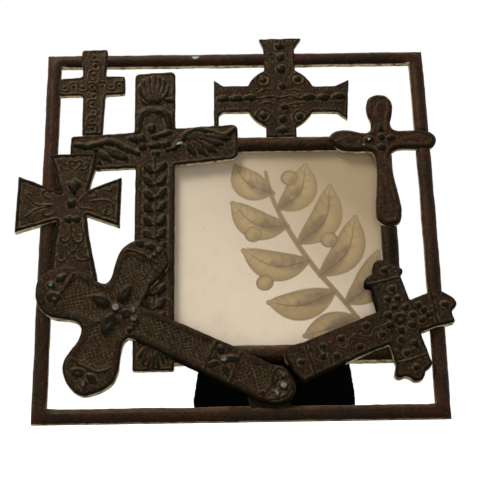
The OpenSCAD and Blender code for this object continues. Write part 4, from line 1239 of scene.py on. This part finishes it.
bm = bmesh.new()
bmesh.ops.create_grid(bm, x_segments=230, y_segments=230, size=half)
bmesh.ops.translate(bm, vec=(0, 0, CARD_FRONT), verts=bm.verts)
rim_edges = [e for e in bm.edges if e.is_boundary]
down = bmesh.ops.extrude_edge_only(bm, edges=rim_edges)["geom"]
bmesh.ops.translate(bm, vec=(0, 0, CARD_BACK - CARD_FRONT), verts=verts_in(down))
bmesh.ops.contextual_create(bm, geom=[e for e in down if isinstance(e, bmesh.types.BMEdge)])
bmesh.ops.recalc_face_normals(bm, faces=bm.faces)
card = mesh_object("insert_card", bm, printed_card())
x, y, z = points_of(card.data).T
set_numbers(card.data, ink=ink.sample(soften(ink.raised, 1), x, y),
            line=lines.sample(lines.raised, x, y),
            shade=shade.sample(soften(shade.raised, 3), x, y),
            wash=0.75 * np.clip((x + y + 40) / 115, 0, 1) ** 1.6,
            margin=np.clip((x - 58.0 - 0.05 * (y + 30)) / 0.6, 0, 1))
settle(card, "root", WINDOW_MID, nodes=["photo_card"])

# %% [markdown]
# ## Velvet board and strut
# The back is grey board covered in black flock. Flock is short upright fibre on glue:
# it swallows light seen head-on and shows a pale bloom at grazing angles, which the
# sheen gives. The fibres make every edge soft, so the solids are copied, remeshed,
# rounded and roughened a little.

# %% Black flock
def black_flock():
    """Flocked board: upright black fibres that lie in soft, brushed patches."""
    material, tree, place = new_material("black_flocked_board")
    fibre, brushed = (
        add(tree, "ShaderNodeTexNoise", {
            "Vector": place, "Scale": 1000 / size_mm, "Detail": 2}).outputs[0]
        for size_mm in (0.35, 14))
    colour = paint(tree, "#020302", ("#070806", (fibre, 0.35, 0.7)),
                   ("#0b0d08", (brushed, 0.5, 0.75)))
    return finished(material, {
        "Base Color": colour, "Roughness": 0.95, "Specular IOR Level": 0.04,
        "Sheen Weight": 0.06, "Sheen Roughness": 0.4}, (fibre, 0.8, 0.3))


flock = black_flock()


def flocked(name, node, body, voxel, fuzz, seed):
    """A soft-edged copy of a flat solid."""
    bm = bmesh.new()
    bm.from_mesh(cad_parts[node].data)
    bmesh.ops.remove_doubles(bm, verts=bm.verts, dist=0.00001)
    piece = mesh_object(name, bm, flock)
    piece.data.transform(STAND.inverted())
    remeshed(piece, voxel)
    piece.data.materials.clear()
    piece.data.materials.append(flock)
    uneven(piece.data, seed, (fuzz, 1.7, 0), (fuzz, 5.0, 3), shrink=0.3)
    return settle(piece, body, nodes=[node])


flocked("velvet_board", "backing_board", "root", 0.9, 0.12, 41)
flocked("velvet_strut", "easel_strut", "strut", 0.7, 0.35, 42)

# %% [markdown]
# ## The steel fittings
# The hinge, its rivets, the turn buttons and their screws are small pressed or turned
# steel pieces. Their solids already have the right shape, so they only get a finish:
# bright steel with the fine marks of rolling.

# %% Rolled bright steel
def rolled_steel():
    """Cold-rolled mild steel: grey, fairly bright, with fine marks and a few dull spots."""
    material, tree, place = new_material("cold_rolled_steel")
    along_roll = add(tree, "ShaderNodeMapping", {"Vector": place, "Scale": (0.15, 1, 1)})
    marks, dull = (
        add(tree, "ShaderNodeTexNoise", {
            "Vector": where, "Scale": 1000 / size_mm, "Detail": detail}).outputs[0]
        for where, size_mm, detail in ((along_roll.outputs[0], 0.4, 2), (place, 5, 4)))
    return finished(material, {
        "Base Color": paint(tree, "#a9a8a4", ("#7c7a76", (dull, 0.4, 0.75))), "Metallic": 1.0,
        "Roughness": product(tree, (marks, 0, 1, 0.25, 0.5))}, (marks, 0.2, 0.05))


steel = rolled_steel()
for node in ("hinge_board_leaf", "hinge_strut_leaf", "hinge_pin", "board_rivets", "strut_rivets",
             *(f"turn_button_{number}" for number in range(1, 5)), "button_screws"):
    dress(node, steel)
